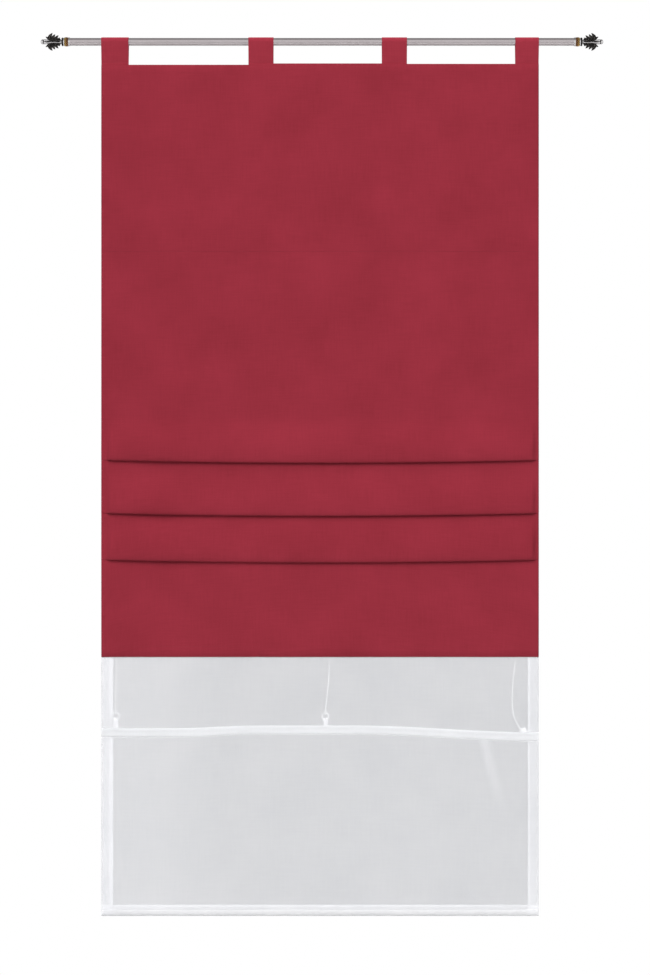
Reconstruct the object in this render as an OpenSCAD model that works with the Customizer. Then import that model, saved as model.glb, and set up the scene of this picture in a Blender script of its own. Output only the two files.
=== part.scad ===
// Tab-top roman blind on a curtain rod, in millimetres.
// A red cloth panel with three sewn folds hangs from four tabs, and a sheer voile panel is sewn to its
// lower edge. Four batten rows at the back carry rings, and three cords run through them to a pull knob.
// The origin is on the rod's axis, over the middle of the cloth. The face is towards -Y, the window is
// towards +Y, and +Z is up. The blind is shown let down all the way.

/* [Rod] */
// Outside diameter of the rod
rod_d = 14; // [12:0.5:18]
// Wall of the rod's tube
rod_wall = 0.8; // [0.7:0.1:1.2]
// How far the tube reaches past the cloth at each side
rod_past = 61; // [56:1:200]
// How far the rod's middle is to the right of the cloth's middle
rod_shift = 3.6; // [0:0.2:8]
// Number of lengthwise flutes
flute_count = 10; // [8:1:14]
// Depth of each flute
flute_depth = 0.35; // [0.2:0.05:0.45]

/* [Finials] */
// Diameter of the silver collar against the rod's end
collar_d = 16; // [15:0.5:22]
// Length of the collar
collar_l = 2.8; // [2:0.2:5]
// Outside diameter of the gold rope ring
rope_d = 17; // [16:0.5:22]
// Length of the rope ring
rope_l = 7.4; // [5:0.2:10]
// Number of strands that show around the rope ring
rope_strands = 14; // [10:1:18]
// Diameter of the core that the rope ring sits on
core_d = 12; // [10:0.5:13]
// Diameter of the bright neck outside the rope ring
neck_d = 14.4; // [13:0.2:18]
// Length of the neck
neck_l = 1.8; // [1:0.2:4]
// Length of the plug inside the rod
plug_l = 24; // [18:1:40]
// Diameter of the stud that holds the leaf finial
stud_d = 5; // [4:0.5:6]
// Length of the stud
stud_l = 14; // [8:1:18]
// Diameter of the set screw under each rod end
screw_d = 4; // [3:0.5:5]
// How far the set screw is from the rod's end
screw_in = 12; // [8:1:14]
// Diameter of the disc behind the leaves
disc_d = 15.6; // [14:0.2:20]
// Thickness of the disc
disc_l = 3.2; // [2:0.2:5]
// How far the leaves reach past the disc
leaf_l = 29.6; // [24:0.4:40]
// How far the highest tooth is from the axis
leaf_r = 16.4; // [13:0.4:22]
// Thickness of a leaf
leaf_t = 2.2; // [1.6:0.2:3]
// Radius of the stem
stem_r = 2.2; // [1.8:0.2:3]
// Diameter of the bud at the tip
bud_d = 9.4; // [7:0.2:12]
// How far the bud reaches past the disc
bud_l = 39; // [36:0.5:50]

/* [Cloth] */
// Width of the blind
cloth_w = 800; // [760:10:880]
// From the rod's axis down to the cloth's top edge
tab_drop = 42; // [34:1:60]
// Width of the left tab
left_tab_w = 50; // [36:1:60]
// Width of each of the two middle tabs
mid_tab_w = 46; // [36:1:60]
// Width of the right tab
right_tab_w = 43; // [36:1:60]
// Place of the second tab's middle, as a share of half the cloth's width
tab_2_share = -0.27; // [-0.4:0.01:-0.2]
// Place of the third tab's middle, as a share of half the cloth's width
tab_3_share = 0.34; // [0.25:0.01:0.45]
// Thickness of a tab's cloth
tab_t = 1.2; // [0.8:0.1:1.6]
// How far the sewn end of a tab reaches behind the panel
tab_tail = 14; // [8:1:20]
// Height of the stitching that closes each tab above the panel
tab_seam = 5; // [3:1:8]
// Thickness of the red cloth
cloth_t = 1.2; // [0.8:0.1:1.4]
// Length of the red panel
front_drop = 1083; // [1060:1:1130]
// Thickness of the voile
voile_t = 0.5; // [0.3:0.1:0.6]
// From the cloth's top edge to the voile's lower edge
voile_drop = 1557; // [1500:1:1700]
// How far the voile reaches up behind the red panel
voile_lap = 15; // [8:1:30]
// Width of the voile's side hems
side_hem_w = 20; // [10:1:30]
// Thickness of the side hems
side_hem_t = 1.1; // [0.9:0.1:1.2]
// Height of the bottom hem
bottom_hem_h = 20.5; // [18:0.5:40]

/* [Folds] */
// From the cloth's top edge to the lower edge of the first fold
fold_1_drop = 723; // [700:1:740]
// From the cloth's top edge to the lower edge of the second fold
fold_2_drop = 820; // [800:1:832]
// From the cloth's top edge to the lower edge of the third fold
fold_3_drop = 905; // [900:1:930]
// How deep each fold is
fold_depth = 36; // [24:1:40]
// How far the middle of a fold sags below its ends
fold_sag = 5; // [0:0.5:8]
// Radius of the turn at a fold's root
fold_turn = 1.1; // [1:0.1:1.4]
// Radius of the fold's lower edge at mid width
fold_nose = 4; // [1.4:0.1:5]

/* [Batten rows] */
// From the cloth's top edge to the first row
row_1_drop = 342; // [300:1:380]
// From the cloth's top edge to the second row
row_2_drop = 686; // [660:1:700]
// From the cloth's top edge to the third row
row_3_drop = 870; // [840:1:900]
// From the cloth's top edge to the fourth row
row_4_drop = 1217; // [1180:1:1260]
// Height of a batten pocket
pocket_h = 16; // [14:0.5:24]
// Thickness of a batten pocket around its batten
pocket_t = 5.2; // [4.8:0.1:8]
// Thickness of the pocket's cloth
pocket_wall = 0.8; // [0.5:0.1:1]
// Height of a batten
batten_h = 12; // [8:0.5:12]
// Thickness of a batten
batten_t = 3; // [1.5:0.1:3]
// How far each batten end is inside its pocket
batten_in = 3; // [3:1:20]
// How far the left end of the fourth row hangs below its middle
droop_left = 5; // [0:0.5:20]
// How far the right end of the fourth row hangs below its middle
droop_right = 12.5; // [0:0.5:20]
// Where the fourth row starts to droop to the left
level_from = -110; // [-200:10:-40]
// Where the fourth row starts to droop to the right
level_to = 60; // [0:10:160]
// Height of the oval weight bar
bar_h = 9.4; // [8:0.2:12]
// Thickness of the weight bar
bar_t = 3.4; // [2.6:0.2:4.4]

/* [Rings and tapes] */
// Outside diameter of a cord ring
ring_d = 15; // [15:0.5:16]
// Thickness of a ring's wire
ring_wire = 2.2; // [1.8:0.1:2.2]
// Width of a ring tape
tape_w = 8.5; // [4:0.5:8.5]
// Thickness of a ring tape
tape_t = 0.4; // [0.3:0.1:0.6]
// Space between a tape's loop and the ring's wire
loop_room = 1.2; // [1.2:0.1:1.5]
// How far the rings of rows 1 to 3 stand above the row
tape_up = 20; // [14:1:20]
// From the cloth's left edge to the left rings
ring_in_left = 29; // [26:1:60]
// From the cloth's right edge to the right rings
ring_in_right = 38; // [36:1:60]
// From the cloth's right edge to the pull cords
side_in = 11; // [9:1:12]
// How far below the top edge the guide rings hang
guide_drop = 18; // [14:1:18]
// Height of the heading band
band_h = 38; // [24:1:38]
// Thickness of the heading band
band_t = 0.6; // [0.4:0.1:1]

/* [Cords and knob] */
// Diameter of a lift cord
cord_d = 1.6; // [1.2:0.1:1.8]
// Diameter of a knot at a ring
knot_d = 3.4; // [2.6:0.2:4]
// Diameter of the pull knob
knob_d = 16; // [14:0.5:17]
// Length of the pull knob
knob_l = 34; // [28:1:44]
// Diameter of the cords' bore in the knob
knob_bore = 6.4; // [6.2:0.1:7]
// Diameter of the knot inside the knob
pull_knot_d = 8; // [7.4:0.2:9]

/* [Hidden] */
$fn = 48;

// Running gaps
fit_gap = 0.05;
sewn_gap = 0.2;
seat_gap = 0.1;
body_gap = 0.4;

// Places in depth, from the face to the back
panel_y = -(tab_t + sewn_gap + cloth_t / 2);
panel_back = panel_y + cloth_t / 2;
voile_y = panel_back + body_gap + voile_t / 2;
pocket_y = panel_back + body_gap;
tape_y = pocket_y + pocket_t + seat_gap;
band_y = tab_t + sewn_gap;
heading_tape_y = band_y + band_t + seat_gap;

// Rod and finials
rod_l = cloth_w + 2 * rod_past;
rod_r = rod_d / 2;
flute_r = 1.9;
flute_turn = 11;
rope_groove = 1.2;
plug_d = rod_d - 2 * rod_wall - 2 * fit_gap;
screw_bite = 3;
screw_recess = 0.4;
hex_key = 2.2;
hex_depth = 1.8;

// Heights
panel_top = -tab_drop;
panel_bottom = panel_top - front_drop;
voile_bottom = panel_top - voile_drop;
half_w = cloth_w / 2;
row_drops = [row_1_drop, row_2_drop, row_3_drop, row_4_drop];
fold_drops = [fold_1_drop, fold_2_drop, fold_3_drop];
guide_z = panel_top - guide_drop;

// Sleeve around the weight bar, in the bottom hem
hem_wall = 0.6;
sleeve_h = bar_h + 2 * (hem_wall + sewn_gap);
sleeve_t = bar_t + 2 * (hem_wall + sewn_gap);
sleeve_z = voile_bottom + sleeve_h / 2;

// Rings
ring_r = (ring_d - ring_wire) / 2;
loop_ri = ring_wire / 2 + loop_room;
loop_ro = loop_ri + tape_t;
tape_tail = 1;
// From a loop's middle to the middle of its ring, whose wire lies against the loop
ring_reach = ring_r - loop_room + seat_gap;
row_ring_y = tape_y + loop_ro;
guide_ring_y = heading_tape_y + loop_ro + ring_reach;
ring_mid_x = 16;
ring_xs = [-half_w + ring_in_left, ring_mid_x, half_w - ring_in_right];
side_x = half_w - side_in;
row_4_ring_xs = ring_xs + [-3, -6, 11];
row_4_tape_ups = [24.3, 18.8, 13];
droop_run = 160;

// Depths of the three cords, one behind the other
tail_ys = [8.7, 10.5, 12.3];

// Routes of the lift cords, from the guide rings down to the knots at row 4. X is counted from each
// cord's own guide ring.
cord_sides = 8;
lift_left = to_knot(0, [
    [0, 8.7, -64], [0, 12, -360], [0, 12, -700], [0, 11.6, -885], [0, 10.6, -900], [0, 6, -945],
    [0, 2.4, -1010], [0, 1.4, -1080], [0, 1.4, -1150], [-1, 3, -1190], [-2.4, 5.4, -1213]
]);
lift_centre = to_knot(1, [
    [0, 10.5, -64], [0, 12, -360], [0, 12, -700], [0, 11.6, -885], [0, 10.6, -900], [0, 6, -945],
    [0.5, 2.4, -1010], [1, 1.4, -1080], [1, 1.4, -1125], [-0.4, 2, -1171], [-3.2, 3.8, -1197],
    [-4.8, 5.6, -1214]
]);
lift_right = to_knot(2, [
    [0, 12.3, -64], [0, 12, -360], [0, 12, -700], [0, 11.6, -885], [0, 10.6, -900], [0, 6, -945],
    [-0.4, 2.4, -1010], [-1, 1.4, -1080], [-4, 1.4, -1131], [-7.6, 1.8, -1164], [-9.6, 2.6, -1193],
    [-9.2, 4.2, -1221], [-5, 5.6, -1240], [1, 6.4, -1250]
]);

// Routes along the heading: up through a guide ring, over the rings on the way, and down at the side.
// A cord sags a little halfway between two rings.
rise = [[0, -64], [0, -61.4], [1, -58.8], [3.4, -57.6]];
fall = [[-4.4, -57.6], [-1.2, -58.8], [0, -61.4], [0, -66]];
over_z = -57.8;
sag_left_z = -61;
sag_right_z = -60.5;
middles = [(ring_xs[0] + ring_xs[1]) / 2, (ring_xs[1] + ring_xs[2]) / 2];
cross_left = along_heading(0, [
    [ring_xs[0] + 13, over_z], [middles[0], sag_left_z],
    [ring_xs[1] - 10, over_z], [ring_xs[1] + 10, over_z],
    [middles[1], sag_right_z], [ring_xs[2] - 8, over_z]
]);
cross_centre = along_heading(1, [
    [ring_xs[1] + 14, over_z], [middles[1], sag_right_z], [ring_xs[2] - 8, over_z]
]);
cross_right = along_heading(2, []);
tail_top = -66;
tail_bottom = -404;
knob_top = -384;
knob_y = pocket_y + pocket_t + body_gap + knob_d / 2;

function to_knot(i, offsets) = let (route = [for (p = offsets) [ring_xs[i] + p[0], p[1], p[2]]]) concat(
    route,
    [knot_at(i) + (knot_d / 2 + seat_gap) * unit(route[len(route) - 1] - knot_at(i))]
);

function along_heading(i, between) = concat(
    [for (p = rise) [ring_xs[i] + p[0], tail_ys[i], p[1]]],
    [for (p = between) [p[0], tail_ys[i], p[1]]],
    [for (p = fall) [side_x + p[0], tail_ys[i], p[1]]]
);

// Turns a section drawn in Y and Z into a solid that runs along X
module along_x(length) {
    rotate([90, 0, 90]) linear_extrude(height = length, center = true) children();
}

// Turns an outline drawn in X and Z into a solid from one depth to another
module facing_y(from, to) {
    translate([0, to, 0]) rotate([90, 0, 0]) linear_extrude(height = to - from) children();
}

// Puts a piece at a rod end, with its own +Z away from the rod and its own +X down
module at_rod_end(side) {
    translate([rod_shift, 0, 0])
        mirror([side < 0 ? 1 : 0, 0, 0])
            translate([rod_l / 2, 0, 0])
                rotate([0, 90, 0]) children();
}

module curtain_rod() {
    color([0.66, 0.64, 0.65])
        difference() {
            translate([rod_shift, 0, 0]) along_x(rod_l) rod_section();
            for (side = [-1, 1])
                at_rod_end(side) translate([0, 0, -screw_in]) rotate([0, 90, 0])
                    cylinder(d = screw_d + 2 * fit_gap, h = rod_r + 1);
        }
}

module rod_section() {
    difference() {
        circle(r = rod_r);
        circle(r = rod_r - rod_wall);
        for (k = [0 : flute_count - 1])
            rotate(360 * k / flute_count + flute_turn)
                translate([rod_r - flute_depth + flute_r, 0]) circle(r = flute_r);
    }
}

// Turned end plug with its collar, the core under the rope ring and the bright neck
module socket(side) {
    color([0.75, 0.75, 0.78])
        at_rod_end(side)
            difference() {
                union() {
                    translate([0, 0, -plug_l]) cylinder(d = plug_d, h = plug_l);
                    cylinder(d = collar_d, h = collar_l);
                    translate([0, 0, collar_l]) cylinder(d = core_d, h = rope_l);
                    translate([0, 0, collar_l + rope_l]) cylinder(d = neck_d, h = neck_l);
                }
                translate([0, 0, collar_l + rope_l + neck_l - stud_l - seat_gap])
                    cylinder(d = stud_d + 2 * fit_gap, h = stud_l + 1);
                translate([plug_d / 2 - screw_bite, 0, -screw_in]) rotate([0, 90, 0])
                    cylinder(d = screw_d + 2 * fit_gap, h = screw_bite + 1);
            }
}

module rope_ring(side) {
    color([0.72, 0.55, 0.25])
        at_rod_end(side)
            translate([0, 0, collar_l + seat_gap])
                linear_extrude(height = rope_l - 2 * seat_gap, twist = 50, slices = 6)
                    difference() {
                        polygon(rope_outline());
                        circle(d = core_d + 2 * seat_gap, $fn = 32);
                    }
}

// Four points a strand, with a groove between strands
function rope_outline() = [
    for (k = [0 : 4 * rope_strands - 1])
        let (a = 90 * k / rope_strands, r = rope_d / 2 - rope_groove * (1 - cos(rope_strands * a)) / 2)
            [r * cos(a), r * sin(a)]
];

module leaf_finial(side) {
    color([0.22, 0.21, 0.2])
        at_rod_end(side)
            translate([0, 0, collar_l + rope_l + neck_l]) {
                translate([0, 0, -stud_l]) cylinder(d = stud_d, h = stud_l + 1);
                cylinder(d = disc_d, h = disc_l);
                translate([0, 0, disc_l]) {
                    rotate_extrude() polygon(bud_outline());
                    for (a = [0 : 90 : 270])
                        rotate([0, 0, a]) rotate([90, 0, 0])
                            linear_extrude(height = leaf_t, center = true) polygon(leaf_outline());
                }
            }
}

// Half section of the stem and bud: a flared calyx, a groove and a round end
function bud_outline() = let (flare_from = 20, flare_to = bud_l - 6.5, bud_r = bud_d / 2) concat(
    [[0, -0.5], [stem_r + 1, -0.5], [stem_r, 2]],
    [for (s = [0 : 0.2 : 1])
        [stem_r + (bud_r - stem_r) * s * s * (3 - 2 * s), flare_from + (flare_to - flare_from) * s]],
    [[bud_r - 0.6, flare_to + 0.6], [bud_r - 0.6, flare_to + 1.4], [bud_r, flare_to + 2]],
    [for (a = [15 : 15 : 90])
        [bud_r * cos(a), flare_to + 2 + (bud_l - flare_to - 2) * sin(a)]]
);

// One serrated leaf, from the disc outwards. Each tooth has a tip and the notch that follows it,
// given as shares of the leaf's reach and height.
leaf_teeth = [
    [[0.09, 0.46], [0.15, 0.30]],
    [[0.20, 0.73], [0.33, 0.56]],
    [[0.405, 0.85], [0.50, 0.66]],
    [[0.575, 1], [0.82, 0.38]],
    [[1, 0.57], [0.70, 0.1]]
];
leaf_root = [0.02, 0.2];

// Points along a bowed line from one point to the next
function bowed(from, to, bow) = [
    for (s = [0.34, 0.67, 1])
        from + (to - from) * s + bow * 4 * s * (1 - s) * [from[1] - to[1], to[0] - from[0]]
];

function leaf_outline() = let (shares = concat(
    [[0, 0], [0, 0.2], leaf_root],
    [for (k = [0 : len(leaf_teeth) - 1])
        each concat(
            bowed(k == 0 ? leaf_root : leaf_teeth[k - 1][1], leaf_teeth[k][0], k == 4 ? 0.05 : -0.12),
            bowed(leaf_teeth[k][0], leaf_teeth[k][1], k == 3 ? 0.12 : 0.04)
        )],
    [[0.70, 0]]
)) [for (p = shares) [p[1] * leaf_r, p[0] * leaf_l]];

module set_screw(side) {
    color([0.45, 0.45, 0.47])
        at_rod_end(side)
            translate([plug_d / 2 - screw_bite + seat_gap, 0, -screw_in]) rotate([0, 90, 0])
                difference() {
                    cylinder(d = screw_d, h = screw_l());
                    translate([0, 0, screw_l() - hex_depth])
                        cylinder(d = hex_key, h = hex_depth + 1, $fn = 6);
                }
}

function screw_l() = rod_r - screw_recess - (plug_d / 2 - screw_bite + seat_gap);

// Cloth tab looped over the rod, sewn shut above the panel and sewn on behind it
module tab(k) {
    color([0.60, 0.17, 0.24])
        translate([tab_x(k), 0, 0])
            along_x(tab_w(k))
                difference() {
                    polygon(tab_outline(rod_r + seat_gap + tab_t, tab_t));
                    polygon(tab_outline(rod_r + seat_gap, 0));
                }
}

// Round over the rod and straight down to the seam. The outer one runs on behind the panel.
function tab_outline(r, half_t) = let (
    seam = [half_t, panel_top + tab_seam],
    a0 = atan2(seam[1], seam[0]) + acos(r / norm(seam)),
    step = (180 - 2 * a0) / 24
) concat(
    [for (k = [0 : 24]) r * [cos(a0 + k * step), sin(a0 + k * step)]],
    half_t > 0
        ? [[-half_t, seam[1]], [-half_t, panel_top - tab_tail], [half_t, panel_top - tab_tail], seam]
        : [[0, seam[1]]]
);

function tab_w(k) = [left_tab_w, mid_tab_w, mid_tab_w, right_tab_w][k - 1];

function tab_x(k) =
    [-half_w + left_tab_w / 2, tab_2_share * half_w, tab_3_share * half_w, half_w - right_tab_w / 2][k - 1];

// Red panel: one length of cloth whose section runs down the face and turns back on itself at each
// fold. The folds lie flat at the sides and stand out and sag towards the middle.
panel_stations = [
    for (s = [-1, -0.978, -0.93, -0.82, -0.62, -0.4, -0.2, 0, 0.2, 0.4, 0.62, 0.82, 0.93, 0.978, 1])
        s * half_w
];

function fold_points(drop, x) = let (
    mid = 1 - pow(x / half_w, 2),
    open = sqrt(max(mid, 0)),
    edge = panel_top - drop - fold_sag * mid,
    root = panel_top - drop + fold_depth,
    nose = fold_turn + (fold_nose - fold_turn) * open,
    out = 2 * fold_turn + 2 * nose
) concat(
    [
        [panel_y, root + 42],
        [panel_y - 0.32 * out, root + 20],
        [panel_y - 0.86 * out, root - 4],
        [panel_y - out, edge + 12]
    ],
    [for (a = [180 : 45 : 360]) [panel_y - out + nose + nose * cos(a), edge + nose + nose * sin(a)]],
    [for (a = [180 : -45 : 0]) [panel_y - fold_turn + fold_turn * cos(a), root + fold_turn * sin(a)]]
);

function panel_line(x) = concat(
    [[panel_y, panel_top]],
    [for (drop = fold_drops) each fold_points(drop, x)],
    [[panel_y, panel_bottom]]
);

// A line moved sideways by a distance, with the direction taken from the points around each one
function beside(line, distance) = [
    for (i = [0 : len(line) - 1])
        let (
            d = line[min(i + 1, len(line) - 1)] - line[max(i - 1, 0)],
            n = [-d[1], d[0]] / norm(d)
        ) line[i] + distance * n
];

function reversed(list) = [for (i = [len(list) - 1 : -1 : 0]) list[i]];

function panel_section(x) = let (line = panel_line(x)) concat(
    beside(line, cloth_t / 2),
    reversed(beside(line, -cloth_t / 2))
);

module front_panel() {
    n = len(panel_section(0));
    m = len(panel_stations);
    points = [for (x = panel_stations) each [for (p = panel_section(x)) [x, p[0], p[1]]]];
    color([0.60, 0.17, 0.24]) polyhedron(points, skin_faces(n, m));
}

// Faces of a closed skin over m rings of n points, n even. Each end is closed by strips across it.
function skin_faces(n, m) = concat(
    end_strips(n, 0),
    [for (j = [0 : m - 2]) each [for (k = [0 : n - 1]) each let (
        a = j * n + k,
        b = j * n + (k + 1) % n
    ) [[a, a + n, b], [b, a + n, b + n]]]],
    [for (strip = end_strips(n, (m - 1) * n)) reversed(strip)]
);

function end_strips(n, first) = [
    for (k = [0 : n / 2 - 2]) [first + k, first + k + 1, first + n - 2 - k, first + n - 1 - k]
];

function row_z(k) = panel_top - row_drops[k - 1];

// Height of the fourth row's middle line above or below its own level
function bow(x) = x < level_from
    ? -droop_left * eased(min(1, (level_from - x) / droop_run))
    : x > level_to ? -droop_right * eased(min(1, (x - level_to) / (half_w - level_to))) : 0;

function eased(share) = (1 - cos(180 * share)) / 2;

function bow_line(inset, up) = [
    for (s = [-1 : 1 / 12 : 1]) let (x = s * (half_w - inset)) [x, row_z(4) + bow(x) + up]
];

// Outline of a bowed strip in the fourth row, from below its middle line to above it
function bow_strip(inset, down, up) = concat(bow_line(inset, up), reversed(bow_line(inset, -down)));

module sheet_hems(top, bottom) {
    for (side = [-1, 1])
        translate([side * (half_w - side_hem_w / 2), voile_y, (top + bottom) / 2])
            cube([side_hem_w, side_hem_t, top - bottom], center = true);
}

// Voile from behind the red panel's lower edge down to the fourth row
module voile_upper() {
    top = panel_bottom + voile_lap;
    color([0.86, 0.87, 0.88, 0.6])
        difference() {
            union() {
                translate([-half_w, voile_y - voile_t / 2, row_z(4) - pocket_h])
                    cube([cloth_w, voile_t, top - row_z(4) + pocket_h]);
                sheet_hems(top, row_z(4) - pocket_h);
            }
            facing_y(-10, 10) voile_cut(pocket_h / 2 + body_gap, 4 * pocket_h);
        }
}

// All that lies below the fourth row's middle line plus a distance, or above it minus a distance
module voile_cut(up, reach) {
    polygon(concat(
        [for (s = [-1 : 1 / 12 : 1]) let (x = s * (half_w + 1)) [x, row_z(4) + bow(x) + up]],
        [[half_w + 1, row_z(4) - reach], [-half_w - 1, row_z(4) - reach]]
    ));
}

// Voile below the fourth row, with its side hems and the bottom hem, whose lower part is a sleeve
// around the weight bar
module voile_skirt() {
    top = row_z(4) + pocket_h;
    flat_h = bottom_hem_h - sleeve_h / 2;
    color([0.86, 0.87, 0.88, 0.6])
        difference() {
            union() {
                intersection() {
                    union() {
                        translate([-half_w, voile_y - voile_t / 2, sleeve_z])
                            cube([cloth_w, voile_t, top - sleeve_z]);
                        sheet_hems(top, sleeve_z);
                    }
                    facing_y(-10, 10) voile_cut(-pocket_h / 2 - sewn_gap, voile_drop - row_4_drop + 1);
                }
                translate([0, voile_y, sleeve_z + flat_h / 2])
                    cube([cloth_w, side_hem_t, flat_h], center = true);
                translate([0, voile_y, sleeve_z]) along_x(cloth_w) oval(sleeve_h, sleeve_t);
            }
            translate([0, voile_y, sleeve_z])
                along_x(cloth_w + 1) oval(sleeve_h - 2 * hem_wall, sleeve_t - 2 * hem_wall);
        }
}

module oval(height, thickness) {
    polygon([for (a = [0 : 15 : 345]) [thickness / 2 * cos(a), height / 2 * sin(a)]]);
}

module bottom_bar() {
    color([0.8, 0.8, 0.8])
        translate([0, voile_y, sleeve_z]) along_x(cloth_w - 2 * batten_in) oval(bar_h, bar_t);
}

// Flat sleeve for a batten. The fourth one follows its row's bow.
module batten_pocket(k) {
    y = [pocket_y, pocket_y + pocket_wall, pocket_y + pocket_t - pocket_wall, pocket_y + pocket_t];
    inner_h = pocket_h - 2 * pocket_wall;
    color([0.93, 0.93, 0.95])
        if (k < 4)
            translate([0, 0, row_z(k)])
                difference() {
                    facing_y(y[0], y[3]) square([cloth_w - 4, pocket_h], center = true);
                    facing_y(y[1], y[2]) square([cloth_w, inner_h], center = true);
                }
        else
            difference() {
                facing_y(y[0], y[3]) polygon(bow_strip(0, pocket_h / 2, pocket_h / 2));
                facing_y(y[1], y[2]) polygon(bow_strip(-1, inner_h / 2, inner_h / 2));
            }
}

module batten(k) {
    from = pocket_y + (pocket_t - batten_t) / 2;
    low = pocket_h / 2 - pocket_wall - sewn_gap;
    color([0.85, 0.85, 0.82])
        if (k < 4)
            translate([0, 0, row_z(k) - low + batten_h / 2])
                facing_y(from, from + batten_t)
                    square([cloth_w - 4 - 2 * batten_in, batten_h], center = true);
        else
            facing_y(from, from + batten_t) polygon(bow_strip(batten_in, low, batten_h - low));
}

// Tape sewn on at its plain end, with a loop at the other end that a ring's wire passes through.
// Heights are measured from the loop's middle.
module ring_tape(x, y, loop_z, plain_z) {
    translate([x, y, loop_z])
        along_x(tape_w) {
            translate([0, min(0, plain_z - loop_z)]) square([tape_t, abs(plain_z - loop_z)]);
            translate([loop_ro, 0])
                difference() {
                    circle(r = loop_ro);
                    circle(r = loop_ri);
                }
        }
}

module ring_tapes(k) {
    color([0.95, 0.95, 0.97])
        for (i = [0 : 2])
            if (k < 4)
                ring_tape(ring_xs[i], tape_y, row_z(k) + tape_up, row_z(k) - tape_tail);
            else
                ring_tape(row_4_ring_xs[i], tape_y, row_4_loop_z(i), row_4_loop_z(i) - row_4_tape_ups[i]);
}

function row_4_loop_z(i) = row_z(4) + bow(row_4_ring_xs[i]) + row_4_tape_ups[i];

module heading_band() {
    color([0.93, 0.93, 0.95])
        translate([-half_w + 2, band_y, panel_top - band_h]) cube([cloth_w - 4, band_t, band_h - 1]);
}

module heading_tapes() {
    color([0.95, 0.95, 0.97])
        for (x = concat(ring_xs, [side_x]))
            ring_tape(x, heading_tape_y, guide_z, panel_top - 3);
}

module cord_ring() {
    color([0.95, 0.95, 0.96])
        rotate_extrude() translate([ring_r, 0]) circle(d = ring_wire, $fn = 24);
}

// Guide rings and the rings of rows 1 to 3 lie level, so that the cords pass straight down them
module guide_ring(x) {
    translate([x, guide_ring_y, guide_z]) cord_ring();
}

module row_ring(k, i) {
    if (k < 4)
        translate([ring_xs[i], row_ring_y + ring_reach, row_z(k) + tape_up]) cord_ring();
    else
        translate([row_4_ring_xs[i], row_ring_y, row_4_ring_z(i)]) rotate([90, 0, 0]) cord_ring();
}

// The first two rings of row 4 are held up by their cords, and the third has dropped back
function row_4_ring_z(i) = row_4_loop_z(i) + (i < 2 ? ring_reach : -ring_reach);

// Each knot sits on its ring's rim, at the top or beside the tape
function knot_at(i) = let (a = i < 2 ? 90 : 135, reach = ring_r + ring_wire / 2 + knot_d / 2 + seat_gap)
    [row_4_ring_xs[i] + reach * cos(a), row_ring_y, row_4_ring_z(i) + reach * sin(a)];

module cord_knots() {
    color([0.96, 0.96, 0.97])
        for (i = [0 : 2])
            translate(knot_at(i)) sphere(d = knot_d, $fn = 32);
}

function unit(v) = v / norm(v);

function direction_at(route, i) = unit(route[min(i + 1, len(route) - 1)] - route[max(i - 1, 0)]);

// Rings of points around a route that never runs along Y
function tube_points(route) = [
    for (i = [0 : len(route) - 1])
        let (d = direction_at(route, i), s = unit(cross(d, [0, 1, 0])), u = cross(s, d))
            for (k = [0 : cord_sides - 1])
                let (a = 360 * k / cord_sides)
                    route[i] + cord_d / 2 * (cos(a) * s + sin(a) * u)
];

module cord(route) {
    color([0.96, 0.96, 0.97]) polyhedron(tube_points(route), skin_faces(cord_sides, len(route)));
}

// Straight down from the side ring, and leaning out to the knob, which lies against the rows
function tail_route(i) = let (lean = knob_y - tail_ys[1]) [
    [side_x, tail_ys[i], tail_top],
    [side_x, tail_ys[i] + lean / 2, -240],
    [side_x, tail_ys[i] + lean, tail_bottom]
];

// Turned knob, hollow below for the knot
module pull_knob() {
    r = knob_d / 2;
    shoulder = 10;
    color([0.95, 0.95, 0.95])
        translate([side_x, knob_y, knob_top])
            difference() {
                rotate_extrude() polygon(concat(
                    [[0, 0], [knob_bore / 2 + 1.2, 0]],
                    [for (s = [0.2 : 0.2 : 1])
                        [knob_bore / 2 + 1.2 + (r - knob_bore / 2 - 1.2) * sin(90 * s), -shoulder * s * s]],
                    [[r, -shoulder - 2]],
                    [for (s = [0.25 : 0.25 : 1])
                        [r - 1.6 * s * s, -shoulder - 2 - (knob_l - shoulder - 2) * s]],
                    [[0, -knob_l]]
                ));
                translate([0, 0, -knob_l]) cylinder(d = knob_bore, h = knob_l + 1);
                translate([0, 0, -knob_l - 1]) cylinder(d = knob_cavity(), h = knob_l - shoulder - 4);
            }
}

function knob_cavity() = pull_knot_d + 4 * seat_gap;

module pull_knot() {
    color([0.96, 0.96, 0.97])
        translate([side_x, knob_y, tail_bottom - seat_gap - pull_knot_d / 2]) sphere(d = pull_knot_d);
}

curtain_rod();
socket(-1);  // left_socket
socket(1);  // right_socket
rope_ring(-1);  // left_rope_ring
rope_ring(1);  // right_rope_ring
leaf_finial(-1);  // left_leaf_finial
leaf_finial(1);  // right_leaf_finial
set_screw(-1);  // left_set_screw
set_screw(1);  // right_set_screw
tab(1);  // tab_1
tab(2);  // tab_2
tab(3);  // tab_3
tab(4);  // tab_4
front_panel();
voile_upper();
heading_band();
heading_tapes();
guide_ring(ring_xs[0]);  // guide_ring_left
guide_ring(ring_xs[1]);  // guide_ring_centre
guide_ring(ring_xs[2]);  // guide_ring_right
guide_ring(side_x);  // guide_ring_side
cord(lift_left);  // lift_cord_left
cord(lift_centre);  // lift_cord_centre
cord(lift_right);  // lift_cord_right
cord(cross_left);  // cross_cord_left
cord(cross_centre);  // cross_cord_centre
cord(cross_right);  // cross_cord_right
cord(tail_route(0));  // pull_cord_left
cord(tail_route(1));  // pull_cord_centre
cord(tail_route(2));  // pull_cord_right
pull_knob();
pull_knot();
batten_pocket(1);  // batten_pocket_1
batten(1);  // batten_1
ring_tapes(1);  // ring_tapes_1
row_ring(1, 0);  // ring_1_left
row_ring(1, 1);  // ring_1_centre
row_ring(1, 2);  // ring_1_right
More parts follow.
